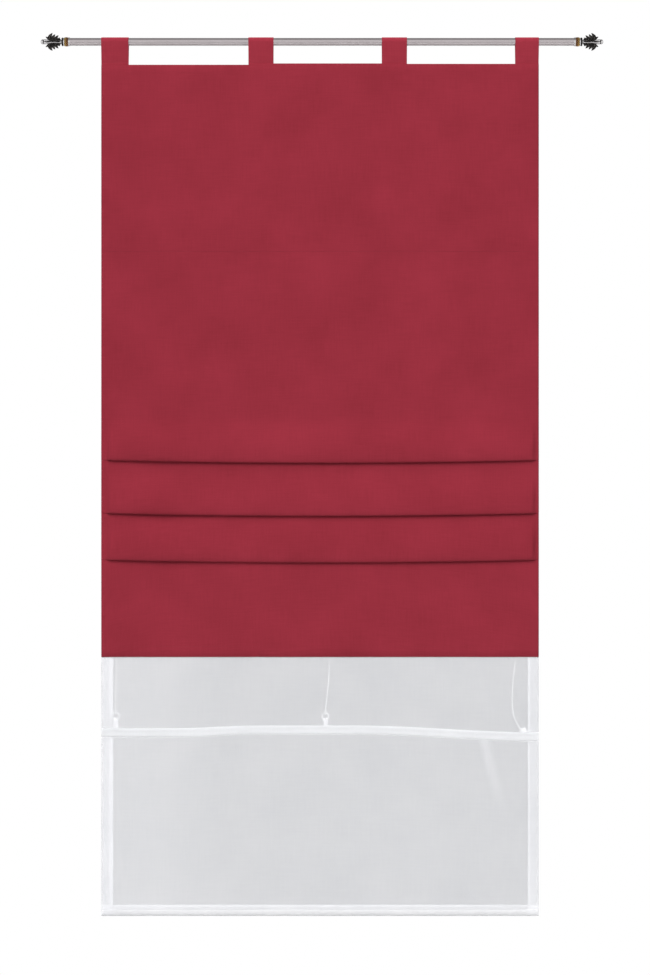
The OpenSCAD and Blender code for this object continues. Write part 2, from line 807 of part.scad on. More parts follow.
batten_pocket(2);  // batten_pocket_2
batten(2);  // batten_2
ring_tapes(2);  // ring_tapes_2
row_ring(2, 0);  // ring_2_left
row_ring(2, 1);  // ring_2_centre
row_ring(2, 2);  // ring_2_right
batten_pocket(3);  // batten_pocket_3
batten(3);  // batten_3
ring_tapes(3);  // ring_tapes_3
row_ring(3, 0);  // ring_3_left
row_ring(3, 1);  // ring_3_centre
row_ring(3, 2);  // ring_3_right
batten_pocket(4);  // batten_pocket_4
batten(4);  // batten_4
ring_tapes(4);  // ring_tapes_4
row_ring(4, 0);  // ring_4_left
row_ring(4, 1);  // ring_4_centre
row_ring(4, 2);  // ring_4_right
cord_knots();
voile_skirt();
bottom_bar();
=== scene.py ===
from math import acos, atan2, ceil, cos, exp, hypot, pi, radians, sin, sqrt
import bpy
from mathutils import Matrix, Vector, noise


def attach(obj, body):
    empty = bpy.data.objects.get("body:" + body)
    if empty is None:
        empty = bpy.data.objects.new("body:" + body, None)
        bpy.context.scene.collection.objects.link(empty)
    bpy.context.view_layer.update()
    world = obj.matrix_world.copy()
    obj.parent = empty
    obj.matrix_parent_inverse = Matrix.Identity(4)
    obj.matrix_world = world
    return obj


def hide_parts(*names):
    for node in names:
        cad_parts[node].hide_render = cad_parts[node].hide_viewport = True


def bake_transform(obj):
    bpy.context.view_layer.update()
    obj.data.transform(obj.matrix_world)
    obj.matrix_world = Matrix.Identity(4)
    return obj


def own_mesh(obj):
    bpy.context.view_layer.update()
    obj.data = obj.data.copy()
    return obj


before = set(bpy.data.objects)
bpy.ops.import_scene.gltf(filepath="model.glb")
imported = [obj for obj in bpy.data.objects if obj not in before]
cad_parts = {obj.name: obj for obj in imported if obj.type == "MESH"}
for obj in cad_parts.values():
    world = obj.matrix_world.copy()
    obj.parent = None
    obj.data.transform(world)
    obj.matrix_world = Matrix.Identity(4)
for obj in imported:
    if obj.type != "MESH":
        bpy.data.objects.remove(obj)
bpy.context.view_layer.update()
mm = 0.001
print("CAD frame loaded:", len(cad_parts), "nodes")


def clearSelection():
    if bpy.context.object and bpy.context.object.mode != "OBJECT":
        bpy.ops.object.mode_set(mode="OBJECT")
    bpy.ops.object.select_all(action="DESELECT")


def pick(*objects):
    # selects these objects alone, the last one active
    clearSelection()
    for obj in objects:
        obj.select_set(True)
    bpy.context.view_layer.objects.active = objects[-1]


def joined(name, objects):
    pick(*objects)
    if len(objects) > 1:
        bpy.ops.object.join()
    obj = bpy.context.object
    obj.name = obj.data.name = name
    return obj


def applyPlace(obj):
    pick(obj)
    bpy.ops.object.transform_apply(location=True, rotation=True, scale=True)


def applyModifier(obj, kind, **settings):
    pick(obj)
    modifier = obj.modifiers.new(kind.title(), kind)
    for key, value in settings.items():
        setattr(modifier, key, value)
    bpy.ops.object.modifier_apply(modifier=modifier.name)


def smooth(obj, angle=35):
    pick(obj)
    bpy.ops.object.shade_smooth_by_angle(angle=radians(angle))


def copyOf(obj, name):
    twin = obj.copy()
    twin.data = obj.data.copy()
    twin.name = twin.data.name = name
    bpy.context.collection.objects.link(twin)
    return twin


def wear(obj, *materials):
    obj.data.materials.clear()
    for material in materials:
        obj.data.materials.append(material)


def editAll(obj):
    # opens the object in edit mode with its whole mesh selected
    pick(obj)
    bpy.ops.object.mode_set(mode="EDIT")
    bpy.ops.mesh.select_all(action="SELECT")


def meshPiece(name, points, faces, material):
    mesh = bpy.data.meshes.new(name)
    mesh.from_pydata(points, [], faces)
    obj = bpy.data.objects.new(name, mesh)
    bpy.context.collection.objects.link(obj)
    wear(obj, material)
    return obj


# The camera stands where the photo's does: straight on, level with the middle of the frame
cameraView = {"lens": 100, "sensor": 36, "height": 1784 * mm, "middleX": 9.1 * mm, "middleZ": -815.4 * mm,
              "farthest": 60}
distance = cameraView["height"] * cameraView["lens"] / cameraView["sensor"]
clearSelection()
bpy.ops.object.camera_add(location=(cameraView["middleX"], -distance, cameraView["middleZ"]),
                          rotation=(pi / 2, 0, 0))
camera = bpy.context.object
camera.data.lens = cameraView["lens"]
camera.data.sensor_fit = "VERTICAL"
camera.data.sensor_height = cameraView["sensor"]
camera.data.clip_end = cameraView["farthest"]
bpy.context.scene.camera = camera
print("camera placed")


def linear(hexColour):
    channels = [int(hexColour[i:i + 2], 16) / 255 for i in (1, 3, 5)]
    return tuple(c / 12.92 if c <= 0.04045 else ((c + 0.055) / 1.055) ** 2.4 for c in channels) + (1.0,)


def addNode(tree, kind, values=None, links=None, **settings):
    # one shader node with its settings, its fixed inputs and what feeds the others: an output, or a node
    # whose first output is meant
    node = tree.nodes.new("ShaderNode" + kind)
    for key, value in settings.items():
        setattr(node, key, value)
    for key, value in (values or {}).items():
        node.inputs[key].default_value = value
    for key, source in (links or {}).items():
        tree.links.new(getattr(source, "outputs", [source])[0], node.inputs[key])
    return node


def newMaterial(name, **values):
    material = bpy.data.materials.new(name)
    material.use_nodes = True
    shader = material.node_tree.nodes["Principled BSDF"]
    for key, value in values.items():
        shader.inputs[key.replace("_", " ")].default_value = value
    return material, material.node_tree, shader


def feed(tree, shader, **sources):
    # links outputs, or nodes, to the shader's inputs, whose names are written with _ for a blank
    for key, source in sources.items():
        tree.links.new(getattr(source, "outputs", [source])[0], shader.inputs[key.replace("_", " ")])


def wovenHeight(tree, vector, spacing):
    # plain weave: over and under threads that swap in a chequer, one thread every spacing metres
    scaled = addNode(tree, "Mapping", {"Scale": (1 / spacing, 1 / spacing, 1 / spacing)}, {"Vector": vector})
    chequer = addNode(tree, "TexChecker", {"Scale": 1.0}, {"Vector": scaled.outputs["Vector"]})
    parts = addNode(tree, "SeparateXYZ", links={"Vector": scaled.outputs["Vector"]})
    ridges = []
    for axis in ("X", "Y"):
        turned = addNode(tree, "Math", {1: pi}, {0: parts.outputs[axis]}, operation="MULTIPLY")
        wave = addNode(tree, "Math", links={0: turned}, operation="SINE")
        ridges.append(addNode(tree, "Math", links={0: wave}, operation="ABSOLUTE"))
    return addNode(tree, "Mix", links={0: chequer.outputs["Fac"], 2: ridges[0], 3: ridges[1]},
                   data_type="FLOAT")


def hemShadeMask(tree, left, right, low):
    # 1 on the side hems and the bottom hem, 0 between them: where painted shade greys the voile
    parts = addNode(tree, "SeparateXYZ", links={"Vector": addNode(tree, "TexCoord").outputs["Object"]})
    leftHem = addNode(tree, "Math", {1: left}, {0: parts.outputs["X"]}, operation="LESS_THAN")
    rightHem = addNode(tree, "Math", {1: right}, {0: parts.outputs["X"]}, operation="GREATER_THAN")
    lowHem = addNode(tree, "Math", {1: low}, {0: parts.outputs["Z"]}, operation="LESS_THAN")
    sides = addNode(tree, "Math", links={0: leftHem, 1: rightHem}, operation="MAXIMUM")
    return addNode(tree, "Math", links={0: sides, 1: lowHem}, operation="MAXIMUM")


def clothMaterial(name, dark, light, spacing, bump, slub, roughness=0.9, sheen=0.1, alpha=1.0,
                  hems=None, hemShadeTone=1.0):
    material, tree, shader = newMaterial(name, Roughness=roughness, Sheen_Weight=sheen, Alpha=alpha,
                                         Specular_IOR_Level=0.25, Sheen_Tint=linear(light))
    uv = addNode(tree, "TexCoord").outputs["UV"]
    weave = wovenHeight(tree, uv, spacing)
    # broad patches about 11 cm across, and slubs drawn out along both ways of the weave
    broad = addNode(tree, "TexNoise", {"Scale": 9.0, "Detail": 3.0, "Roughness": 0.55}, {"Vector": uv})
    slubs = []
    for scale in ((0.06 / slub, 1 / slub, 1), (1 / slub, 0.06 / slub, 1)):
        drawn = addNode(tree, "Mapping", {"Scale": scale}, {"Vector": uv})
        slubs.append(addNode(tree, "TexNoise", {"Scale": 1.0, "Detail": 2.0}, {"Vector": drawn}))
    streaks = addNode(tree, "Mix", {0: 0.5}, {2: slubs[0].outputs["Fac"], 3: slubs[1].outputs["Fac"]},
                      data_type="FLOAT")
    tone = addNode(tree, "Mix", {0: 0.5}, {2: broad.outputs["Fac"], 3: streaks}, data_type="FLOAT")
    # painted shade: the weave's height also darkens the colour between the threads
    shade = addNode(tree, "Math", {1: 0.18}, {0: weave, 2: tone}, operation="MULTIPLY_ADD")
    ranged = addNode(tree, "MapRange", {"From Min": 0.38, "From Max": 0.78}, {"Value": shade})
    colour = addNode(tree, "Mix", {6: linear(dark), 7: linear(light)}, {0: ranged}, data_type="RGBA")
    if hems:
        # painted shade: doubled cloth scatters light between its layers, so the hems' colour is drawn a
        # little greyer to offset that extra light
        colour = addNode(tree, "Mix", {7: (hemShadeTone, hemShadeTone, hemShadeTone, 1)},
                         {0: hemShadeMask(tree, *hems), 6: colour.outputs[2]}, data_type="RGBA",
                         blend_type="MULTIPLY")
    height = addNode(tree, "Math", {1: 0.6}, {0: streaks, 2: weave}, operation="MULTIPLY_ADD")
    relief = addNode(tree, "Bump", {"Strength": 0.5, "Distance": bump}, {"Height": height})
    feed(tree, shader, Base_Color=colour.outputs[2], Normal=relief)
    return material


# Dyed cotton panama: matt, with a soft bloom at grazing angles and faint slubs. Threads are 0.5 mm apart,
# drawn at 1 mm so that they show.
redCotton = clothMaterial("dyed_cotton_panama", "#932C39", "#A83545", 1.0 * mm, 0.12 * mm, 2.4 * mm,
                          sheen=0.15)
# The same cloth drawn a shade lighter: painted light on the tabs, which lean back and face a little downward,
# so that they catch less light from above
redTabCottonLightened = clothMaterial("dyed_cotton_panama_tabs_lightened", "#9D303E", "#B23A4A", 1.0 * mm, 0.12 * mm, 2.4 * mm,
                             sheen=0.15)
# Cotton sewing thread: matt, and a little darker than the cloth that it sews
redThread = newMaterial("cotton_sewing_thread", Base_Color=linear("#8A2A38"), Roughness=0.7)[0]

# Polyester voile: fine bright threads with open holes between them, so each skin lets much of the light
# through. Threads are 0.3 mm apart, drawn at 1 mm so that they show. Places and widths are in metres.
# the hems' tone below is painted shade: it greys the colour of the voile's hems
voileLooks = {"alpha": 0.41, "hems": (-0.3785, 0.3805, -1.5783), "hemShadeTone": 0.912,
              "creaseLean": 0.24, "creaseShift": 0.0055, "creaseCore": 0.001, "creaseEdge": 0.016,
              "creaseTop": -1.262, "creaseFade": -1.3, "creaseEnd": -1.42, "creaseGain": 0.08,
              "fullFrom": -0.14, "fullAt": -0.36, "fullGain": 0.06}
whiteVoile = clothMaterial("polyester_voile", "#EEEFF2", "#F8F8FA", 1.0 * mm, 0.05 * mm, 3.0 * mm,
                           roughness=0.6, alpha=voileLooks["alpha"], hems=voileLooks["hems"],
                           hemShadeTone=voileLooks["hemShadeTone"])


def thickenVoile(material, looks):
    # thin cloth looks denser along the crease below the pocket, and towards its left edge
    tree = material.node_tree
    parts = addNode(tree, "SeparateXYZ", links={"Vector": addNode(tree, "TexCoord").outputs["Object"]})
    leaning = addNode(tree, "Math", {1: looks["creaseLean"], 2: looks["creaseShift"]},
                      {0: parts.outputs["Z"]}, operation="MULTIPLY_ADD")
    aside = addNode(tree, "Math", links={0: parts.outputs["X"], 1: leaning}, operation="ADD")
    away = addNode(tree, "Math", links={0: aside}, operation="ABSOLUTE")
    near = addNode(tree, "MapRange", {"From Min": looks["creaseCore"], "From Max": looks["creaseEdge"],
                                      "To Min": 1.0, "To Max": 0.0},
                   {"Value": away}, interpolation_type="SMOOTHSTEP")
    fades = addNode(tree, "MapRange", {"From Min": looks["creaseEnd"], "From Max": looks["creaseFade"]},
                    {"Value": parts.outputs["Z"]}, interpolation_type="SMOOTHSTEP")
    below = addNode(tree, "Math", {1: looks["creaseTop"]}, {0: parts.outputs["Z"]}, operation="LESS_THAN")
    along = addNode(tree, "Math", links={0: fades, 1: below}, operation="MULTIPLY")
    crease = addNode(tree, "Math", links={0: near, 1: along}, operation="MULTIPLY")
    full = addNode(tree, "MapRange", {"From Min": looks["fullFrom"], "From Max": looks["fullAt"],
                                      "To Min": looks["alpha"], "To Max": looks["alpha"] + looks["fullGain"]},
                   {"Value": parts.outputs["X"]}, interpolation_type="SMOOTHSTEP")
    dense = addNode(tree, "Math", {1: looks["creaseGain"]}, {0: crease, 2: full}, operation="MULTIPLY_ADD")
    feed(tree, tree.nodes["Principled BSDF"], Alpha=dense)


thickenVoile(whiteVoile, voileLooks)
# The same voile folded into a pocket round a white batten, which shows through it
pocketVoile = clothMaterial("polyester_voile_pocket", "#EDEEF1", "#F5F6F8", 1.0 * mm, 0.05 * mm, 3.0 * mm,
                            roughness=0.6, alpha=0.85)

# Woven polyester tape: dense, white and matt. Its ribs are 0.8 mm apart, close to real ones.
whiteTape = clothMaterial("woven_polyester_tape", "#EDEEF1", "#FAFAFC", 0.8 * mm, 0.12 * mm, 2.0 * mm)
# Polyester sewing thread: white, with a faint shine
whiteThread = newMaterial("polyester_sewing_thread", Base_Color=linear("#F4F5F7"), Roughness=0.5)[0]


def cordMaterial():
    # Braided polyester cord: eight strands that cross, each turn 3 mm long, with a slight shine
    material, tree, shader = newMaterial("braided_polyester_cord", Roughness=0.55, Sheen_Weight=0.1)
    parts = addNode(tree, "SeparateXYZ", links={"Vector": addNode(tree, "TexCoord").outputs["UV"]})
    strands = []
    for lean in (-1, 1):
        along = addNode(tree, "Math", {1: lean / (3 * mm)}, {0: parts.outputs["Y"]}, operation="MULTIPLY")
        turn = addNode(tree, "Math", {1: 4.0}, {0: parts.outputs["X"], 2: along}, operation="MULTIPLY_ADD")
        angle = addNode(tree, "Math", {1: pi}, {0: turn}, operation="MULTIPLY")
        wave = addNode(tree, "Math", links={0: angle}, operation="SINE")
        strands.append(addNode(tree, "Math", links={0: wave}, operation="ABSOLUTE"))
    braid = addNode(tree, "Math", links={0: strands[0], 1: strands[1]}, operation="MAXIMUM")
    # painted shade: the colour is a little darker where the braid dips between strands
    colour = addNode(tree, "Mix", {6: linear("#F1F2F4"), 7: linear("#FFFFFF")}, {0: braid}, data_type="RGBA")
    relief = addNode(tree, "Bump", {"Strength": 0.5, "Distance": 0.06 * mm}, {"Height": braid})
    feed(tree, shader, Base_Color=colour.outputs[2], Normal=relief)
    return material


whiteCord = cordMaterial()


def smoothRoute(points):
    # a smooth line through the route's points, closer together where the route turns
    ends = [2 * points[0] - points[1]] + points + [2 * points[-1] - points[-2]]
    line = [points[0]]
    for a, b, c, d in zip(ends, ends[1:], ends[2:], ends[3:]):
        knots = [0.0]
        for p, q in ((a, b), (b, c), (c, d)):
            knots.append(knots[-1] + max((q - p).length, 1e-6) ** 0.5)
        steps = max(3, ceil((c - b).length / 0.05))
        for step in range(1, steps + 1):
            t = knots[1] + (knots[2] - knots[1]) * step / steps
            mixed = [a, b, c, d]
            for level in (1, 2, 3):
                for i in range(4 - level):
                    lo, hi = (knots[i], knots[i + level]) if level < 3 else (knots[1], knots[2])
                    share = (t - lo) / (hi - lo)
                    mixed[i] = mixed[i].lerp(mixed[i + 1], share)
            line.append(mixed[0].copy())
    return line


def cordTube(name, route, diameter, sides=10):
    # rings of points square to the line, closed at both ends, with the length laid into the UV map
    line = smoothRoute([Vector(p) * mm for p in route])
    side = Vector((0, 1, 0))
    points, faces, uvs, travelled = [], [], [], [0.0]
    for i, centre in enumerate(line):
        along = (line[min(i + 1, len(line) - 1)] - line[max(i - 1, 0)]).normalized()
        side = (side - along * side.dot(along)).normalized()
        up = along.cross(side)
        if i:
            travelled.append(travelled[-1] + (centre - line[i - 1]).length)
        for k in range(sides):
            angle = 2 * pi * k / sides
            points.append(centre + diameter / 2 * (cos(angle) * side + sin(angle) * up))
    for i in range(len(line) - 1):
        for k in range(sides):
            a, b = i * sides + k, i * sides + (k + 1) % sides
            faces.append((a, b, b + sides, a + sides))
            uvs += [(k / sides, travelled[i]), ((k + 1) / sides, travelled[i]),
                    ((k + 1) / sides, travelled[i + 1]), (k / sides, travelled[i + 1])]
    for first, order in ((0, -1), ((len(line) - 1) * sides, 1)):
        faces.append(tuple(first + k for k in range(sides))[::order])
        uvs += [(0.0, 0.0)] * sides
    obj = meshPiece(name, points, faces, whiteCord)
    layer = obj.data.uv_layers.new(name="lengthwise")
    for loop, uv in zip(layer.data, uvs):
        loop.uv = uv
    smooth(obj, 50)
    return obj, line, travelled[-1]


# Lift cords, from the guide rings down to row 4; their runs behind the heading; and the pull tails
cordLooks = {"diameter": 1.6 * mm, "raisedShare": {"left": 0.1395, "centre": 0.1399, "right": 0.1626}}
liftRoutes = {
    "left": [(-371, 8.7, -64), (-371, 11.4, -180), (-371, 12, -360), (-371, 12, -700), (-371, 11.7, -885),
             (-371, 10.6, -950), (-371, 9.2, -1010), (-371.6, 7.6, -1080), (-372.4, 6.7, -1135),
             (-373.6, 6.3, -1180), (-374.8, 6.6, -1211), (-374.6, 7, -1223.7)],
    "centre": [(16, 10.5, -64), (16, 11.6, -180), (16, 12, -360), (16, 12, -700), (16, 11.7, -885),
               (16, 10.6, -950), (16.5, 9.2, -1010), (17, 7.6, -1080), (17, 6.8, -1125), (15.6, 6.3, -1171),
               (12.8, 6.3, -1197), (11.2, 6.6, -1214), (10.1, 7, -1224.2)],
    "right": [(362, 12.3, -64), (362, 12, -360), (362, 12, -700), (362, 11.7, -885), (362, 10.6, -950),
              (361.6, 9.2, -1010), (361, 7.6, -1080), (358, 6.7, -1131), (354.4, 6.3, -1164),
              (352.4, 6.1, -1193), (352.8, 6.1, -1221), (357, 6.3, -1240), (363, 6.7, -1250.5),
              (365.5, 7, -1255.6)]}
crossRoutes = {
    "left": [(-371, 8.7, -64), (-371, 8.7, -61.4), (-370, 8.7, -58.8), (-367.6, 8.7, -57.6),
             (-358, 8.7, -57.8), (-177.5, 8.7, -61), (6, 8.7, -57.8), (26, 8.7, -57.8), (189, 8.7, -60.5),
             (354, 8.7, -57.8), (384.6, 8.7, -57.6), (387.8, 8.7, -58.8), (389, 8.7, -61.4), (389, 8.7, -66)],
    "centre": [(16, 10.5, -64), (16, 10.5, -61.4), (17, 10.5, -58.8), (19.4, 10.5, -57.6), (30, 10.5, -57.8),
               (189, 10.5, -60.5), (354, 10.5, -57.8), (384.6, 10.5, -57.6), (387.8, 10.5, -58.8),
               (389, 10.5, -61.4), (389, 10.5, -66)],
    "right": [(362, 12.3, -64), (362, 12.3, -61.4), (363, 12.3, -58.8), (365.4, 12.3, -57.6),
              (384.6, 12.3, -57.6), (387.8, 12.3, -58.8), (389, 12.3, -61.4), (389, 12.3, -66)]}
tailDepths = {"left": 8.7, "centre": 10.5, "right": 12.3}
sideX, tailTop, tailEnd, knobTop, knobY, tailSteps = 389, -66, -404, -384, 12.6, 14
allCords = []
for where, route in liftRoutes.items():
    cord, line, length = cordTube("liftCord_" + where, route, cordLooks["diameter"])
    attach(cord, "root")
    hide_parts("lift_cord_" + where)
    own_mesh(cord)
    allCords.append((cord.name, round(length, 3)))
for where, route in crossRoutes.items():
    cord, line, length = cordTube("crossCord_" + where, route, cordLooks["diameter"])
    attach(cord, "root")
    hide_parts("cross_cord_" + where)
    allCords.append((cord.name, round(length, 3)))
for where, depth in tailDepths.items():
    # the tails lean out to the knob, which lies against the rows
    lean = knobY - tailDepths["centre"]
    tail = [(sideX, depth + lean * k / tailSteps, tailTop + (tailEnd - tailTop) * k / tailSteps)
            for k in range(tailSteps + 1)]
    cord, line, length = cordTube("pullCord_" + where, tail, cordLooks["diameter"])
    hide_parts("pull_cord_" + where)
    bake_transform(cord)
    allCords.append((cord.name, round(length, 3)))
print("cords laid:", allCords)


def clothSheet(name, across, lineAt, thickness, material, closedLoop=False):
    # a grid laid over the stations across the cloth and the points of lineAt(x) down it, all in mm.
    # Each station is x and how far it lies behind the line, so that a hem folds back over itself.
    lines = [lineAt(x) for x, back in across]
    columns, rows = len(across) - 1, len(lines[0]) - 1
    clearSelection()
    bpy.ops.mesh.primitive_grid_add(x_subdivisions=columns, y_subdivisions=rows, size=1)
    obj = bpy.context.object
    mesh = obj.data
    widths, depths = [0.0], []
    for (x0, back0), (x1, back1) in zip(across, across[1:]):
        widths.append(widths[-1] + hypot(x1 - x0, back1 - back0))
    for line in lines:
        depths.append([0.0])
        for p, q in zip(line, line[1:]):
            depths[-1].append(depths[-1][-1] + hypot(q[0] - p[0], q[1] - p[1]))
    places = {}
    for vertex in mesh.vertices:
        i, j = round((vertex.co.x + 0.5) * columns), round((0.5 - vertex.co.y) * rows)
        x, back = across[i]
        y, z = lines[i][j]
        vertex.co = Vector((x, y + back, z)) * mm
        places[vertex.index] = (widths[i] * mm, -depths[i][j] * mm)
    layer = mesh.uv_layers.active or mesh.uv_layers.new()
    for loop in mesh.loops:
        layer.data[loop.index].uv = places[loop.vertex_index]
    if closedLoop:
        editAll(obj)
        bpy.ops.mesh.remove_doubles(threshold=0.00001)
        bpy.ops.object.mode_set(mode="OBJECT")
    applyModifier(obj, "SOLIDIFY", thickness=thickness * mm, offset=0)
    obj.name = mesh.name = name
    wear(obj, material)
    smooth(obj, 50)
    return obj


def stitchRow(name, points, material, length=2.6, gap=0.9, height=0.45):
    # short thread loops that lie along a line of points, in mm, one small bead each
    clearSelection()
    bpy.ops.mesh.primitive_uv_sphere_add(segments=6, ring_count=4, radius=1)
    bead = bpy.context.object
    shape = [v.co.copy() for v in bead.data.vertices]
    sides = [tuple(p.vertices) for p in bead.data.polygons]
    bpy.data.objects.remove(bead)
    vertices, faces = [], []
    for a, b in zip(points, points[1:]):
        a, b = Vector(a), Vector(b)
        run = (b - a).length
        count = int(run // (length + gap))
        if not count:
            continue
        along = (b - a) / run
        out = Vector((0, -1, 0))
        out = (out - along * out.dot(along)).normalized()
        wide = along.cross(out)
        for k in range(count):
            middle = a + along * run * (k + 0.5) / count
            first = len(vertices)
            for p in shape:
                vertices.append((middle + along * p.z * length / 2 + out * p.x * height / 2
                                 + wide * p.y * height * 0.6) * mm)
            faces += [tuple(first + i for i in side) for side in sides]
    obj = meshPiece(name, vertices, faces, material)
    smooth(obj, 80)
    return obj


def eased(share):
    share = min(1.0, max(0.0, share))
    return share * share * (3 - 2 * share)


# Red panel: one length of cloth with turned hems, folded back on itself three times
redPanel = {"halfWidth": 400, "top": -42, "bottom": -1125, "face": -2.25, "thickness": 0.6, "hem": 22,
            "hemGap": 0.66,
            "foldEdges": (-765, -862, -947), "foldDepth": 36, "sag": 5, "turn": 1.1, "nose": 3.9,
            "noseHeight": 19, "endTurn": 0.42, "endNose": 0.33, "endHeight": 2, "bulgeX": -292,
            "bulgeWidth": 48, "bulge": 1.3, "wave": 1.1, "rowLine": -384, "stitchReach": 396, "hemStitch": 19}


def panelDrift(x, z):
    # the cloth hangs a little forward between its rows of stitching, never back
    held = min(eased((redPanel["top"] - z) / 120), eased(abs(z - redPanel["rowLine"]) / 90),
               eased((z - redPanel["bottom"]) / 60))
    return -redPanel["wave"] * held * (0.5 + 0.5 * noise.noise(Vector((x / 150, z / 210, 3.7))))


def panelTopEdge(x):
    # pulled up a little between the second tab and the right end
    return -0.5 + 2.5 * eased((x + 130) / 40) - 0.8 * eased((x - 120) / 40)


def panelLine(x):
    p = redPanel
    mid = max(0.0, 1 - (x / p["halfWidth"]) ** 2)
    opened = 0.72 + 0.28 * sqrt(mid)
    local = exp(-((x - p["bulgeX"]) / p["bulgeWidth"]) ** 2)
    shut = eased((p["halfWidth"] + x - 8) / 9) * eased((p["halfWidth"] - x - 4) / 9)
    turn = p["endTurn"] + (p["turn"] - p["endTurn"]) * shut
    nose = p["endNose"] + (p["nose"] * opened + p["bulge"] * local - p["endNose"]) * shut
    out = 2 * turn + 2 * nose
    tall = p["endHeight"] + (p["noseHeight"] * opened - p["endHeight"]) * shut
    top = p["top"] + panelTopEdge(x)
    line = [(p["face"] + p["hemGap"], top - p["hem"] + k * p["hem"] / 3) for k in range(3)]
    line += [(p["face"] + 0.62, top - 0.4), (p["face"] + 0.3, top)]
    z = top - 0.4
    for edge in p["foldEdges"] + (None,):
        if edge is None:
            stop = p["bottom"] + 0.4
        else:
            low = edge - p["sag"] * mid
            root = edge + p["foldDepth"]
            stop = root + 42
        count = max(2, ceil((z - stop) / 15))
        for k in range(count):
            down = z + (stop - z) * k / count
            line.append((p["face"] + panelDrift(x, down), down))
        if edge is None:
            line.append((p["face"], stop))
            break
        bend = low + tall
        forward = panelDrift(x, stop)
        for k in range(10):
            share = k / 10
            y = p["face"] + forward * (1 - share) - out * eased(share) ** 0.9
            line.append((y, stop + (bend - stop) * share))
        for k in range(9):
            a = pi * (1 + k / 16)
            line.append((p["face"] - out + nose * (1 + cos(a)), bend + tall * sin(a)))
        for k in range(1, 6):
            a = pi * (1.5 + k / 10)
            line.append((p["face"] - out + nose * (1 + cos(a)), low + min(nose, 4) * (1 + sin(a))))
        line.append((p["face"] - 2 * turn, (low + root) / 2))
        for k in range(7):
            a = pi * (1 - k / 6)
            line.append((p["face"] - turn * (1 - cos(a)), root + turn * sin(a)))
        z = root - 3
    line += [(p["face"] + 0.3, p["bottom"]), (p["face"] + 0.62, p["bottom"] + 0.4)]
    line += [(p["face"] + p["hemGap"], p["bottom"] + k * p["hem"] / 3) for k in range(1, 4)]
    return line


def foldedSides(halfWidth, hem, gap, inner):
    # stations from one folded hem, over the face and to the other hem. The edge itself curls back a little.
    left = [(-halfWidth + hem, gap), (-halfWidth + hem * 0.5, gap), (-halfWidth + 3.6, gap),
            (-halfWidth + 2.0, gap + 0.5), (-halfWidth + 0.9, gap + 1.3), (-halfWidth + 0.3, gap + 1.9),
            (-halfWidth, gap + 1.6), (-halfWidth + 0.1, gap + 0.8), (-halfWidth + 0.7, gap),
            (-halfWidth + 1.5, gap * 0.3), (-halfWidth + 2.6, 0.04), (-halfWidth + 4.2, 0)]
    return left + [(x, 0) for x in inner] + [(-x, back) for x, back in reversed(left)]


panelInner = ([-394, -391, -388, -385, -382, -376] + [x * 10 for x in range(-37, 38)]
              + [376, 382, 386, 389, 392, 395])
panelSides = foldedSides(redPanel["halfWidth"], redPanel["hem"], redPanel["hemGap"], panelInner)
panel = clothSheet("redPanel", panelSides, panelLine, redPanel["thickness"], redCotton)
threadEnds = [(x, redPanel["face"] - 0.34) for x in (-redPanel["stitchReach"], redPanel["stitchReach"])]
panelStitches = [stitchRow(name, [(x, y, z) for x, y in threadEnds], redThread)
                 for name, z in (("rowStitches", redPanel["rowLine"]),
                                 ("hemStitches", redPanel["bottom"] + redPanel["hemStitch"]))]
panel = joined("redPanel", panelStitches + [panel])
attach(panel, "root")
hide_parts("front_panel")
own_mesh(panel)
print("red panel sewn")

# Tabs: doubled strips over the rod, sewn shut above the panel and sewn on behind it
tabLooks = {"widths": (50, 46, 46, 43), "middles": (-375, -108, 136, 378.5), "thickness": 1.0, "radius": 7.7,
            "halfGap": 0.62, "seam": -37, "tail": -56}


def tabLine(x):
    y, seam, radius = tabLooks["halfGap"], tabLooks["seam"], tabLooks["radius"]
    start = atan2(seam, y) + acos(radius / hypot(y, seam))
    startY, startZ = radius * cos(start), radius * sin(start)
    line = [(-y, tabLooks["tail"]), (-y, -50), (-y, -43), (-y, seam - 1), (-y * 1.2, seam + 1.5)]
    for k in range(1, 5):
        share = k / 5
        line.append((-y - share * (startY - y), seam + share * (startZ - seam)))
    for k in range(25):
        a = pi - start - (pi - 2 * start) * k / 24
        line.append((radius * cos(a), radius * sin(a)))
    return line + [(-y, z) for y, z in reversed(line[:9])]


for number, (middle, width) in enumerate(zip(tabLooks["middles"], tabLooks["widths"]), 1):
    half = width / 2
    stations = [half, half - 0.8, half - 3, half * 0.52, half * 0.17]
    across = [(middle - x, 0) for x in stations] + [(middle + x, 0) for x in reversed(stations)]
    # the tabs wear the cloth drawn lighter, as painted light
    tab = clothSheet(f"tab_cloth_{number}", across, tabLine, tabLooks["thickness"], redTabCottonLightened)
    applyModifier(tab, "BEVEL", width=0.35 * mm, segments=2, limit_method="ANGLE", angle_limit=radians(60))
    seam = stitchRow("seamStitches", [(middle + x, -1.25, tabLooks["seam"]) for x in (2 - half, half - 2)],
                     redThread)
    tab = joined(f"tab_cloth_{number}", [seam, tab])
    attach(tab, "root")
    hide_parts(f"tab_{number}")
print("tabs looped")

# Voile: the part between the red panel and row 4, and the skirt below row 4 with the bar in its hem
voile = {"halfWidth": 400, "top": -1110, "row": -1259, "bottom": -1599, "depth": -0.75, "thickness": 0.2,
         "levelFrom": -110, "levelTo": 60, "droopRun": 160, "droopLeft": 5, "droopRight": 12.5,
         "leftHem": 21.5, "rightHem": 19.5, "turnIns": (7.5, 3.5), "bottomHem": 20.5, "wave": 1.6,
         "creaseX": 301, "creaseSlope": 0.22, "creaseDepth": 1.6, "upperFoot": 8.05, "skirtHead": -9.4}


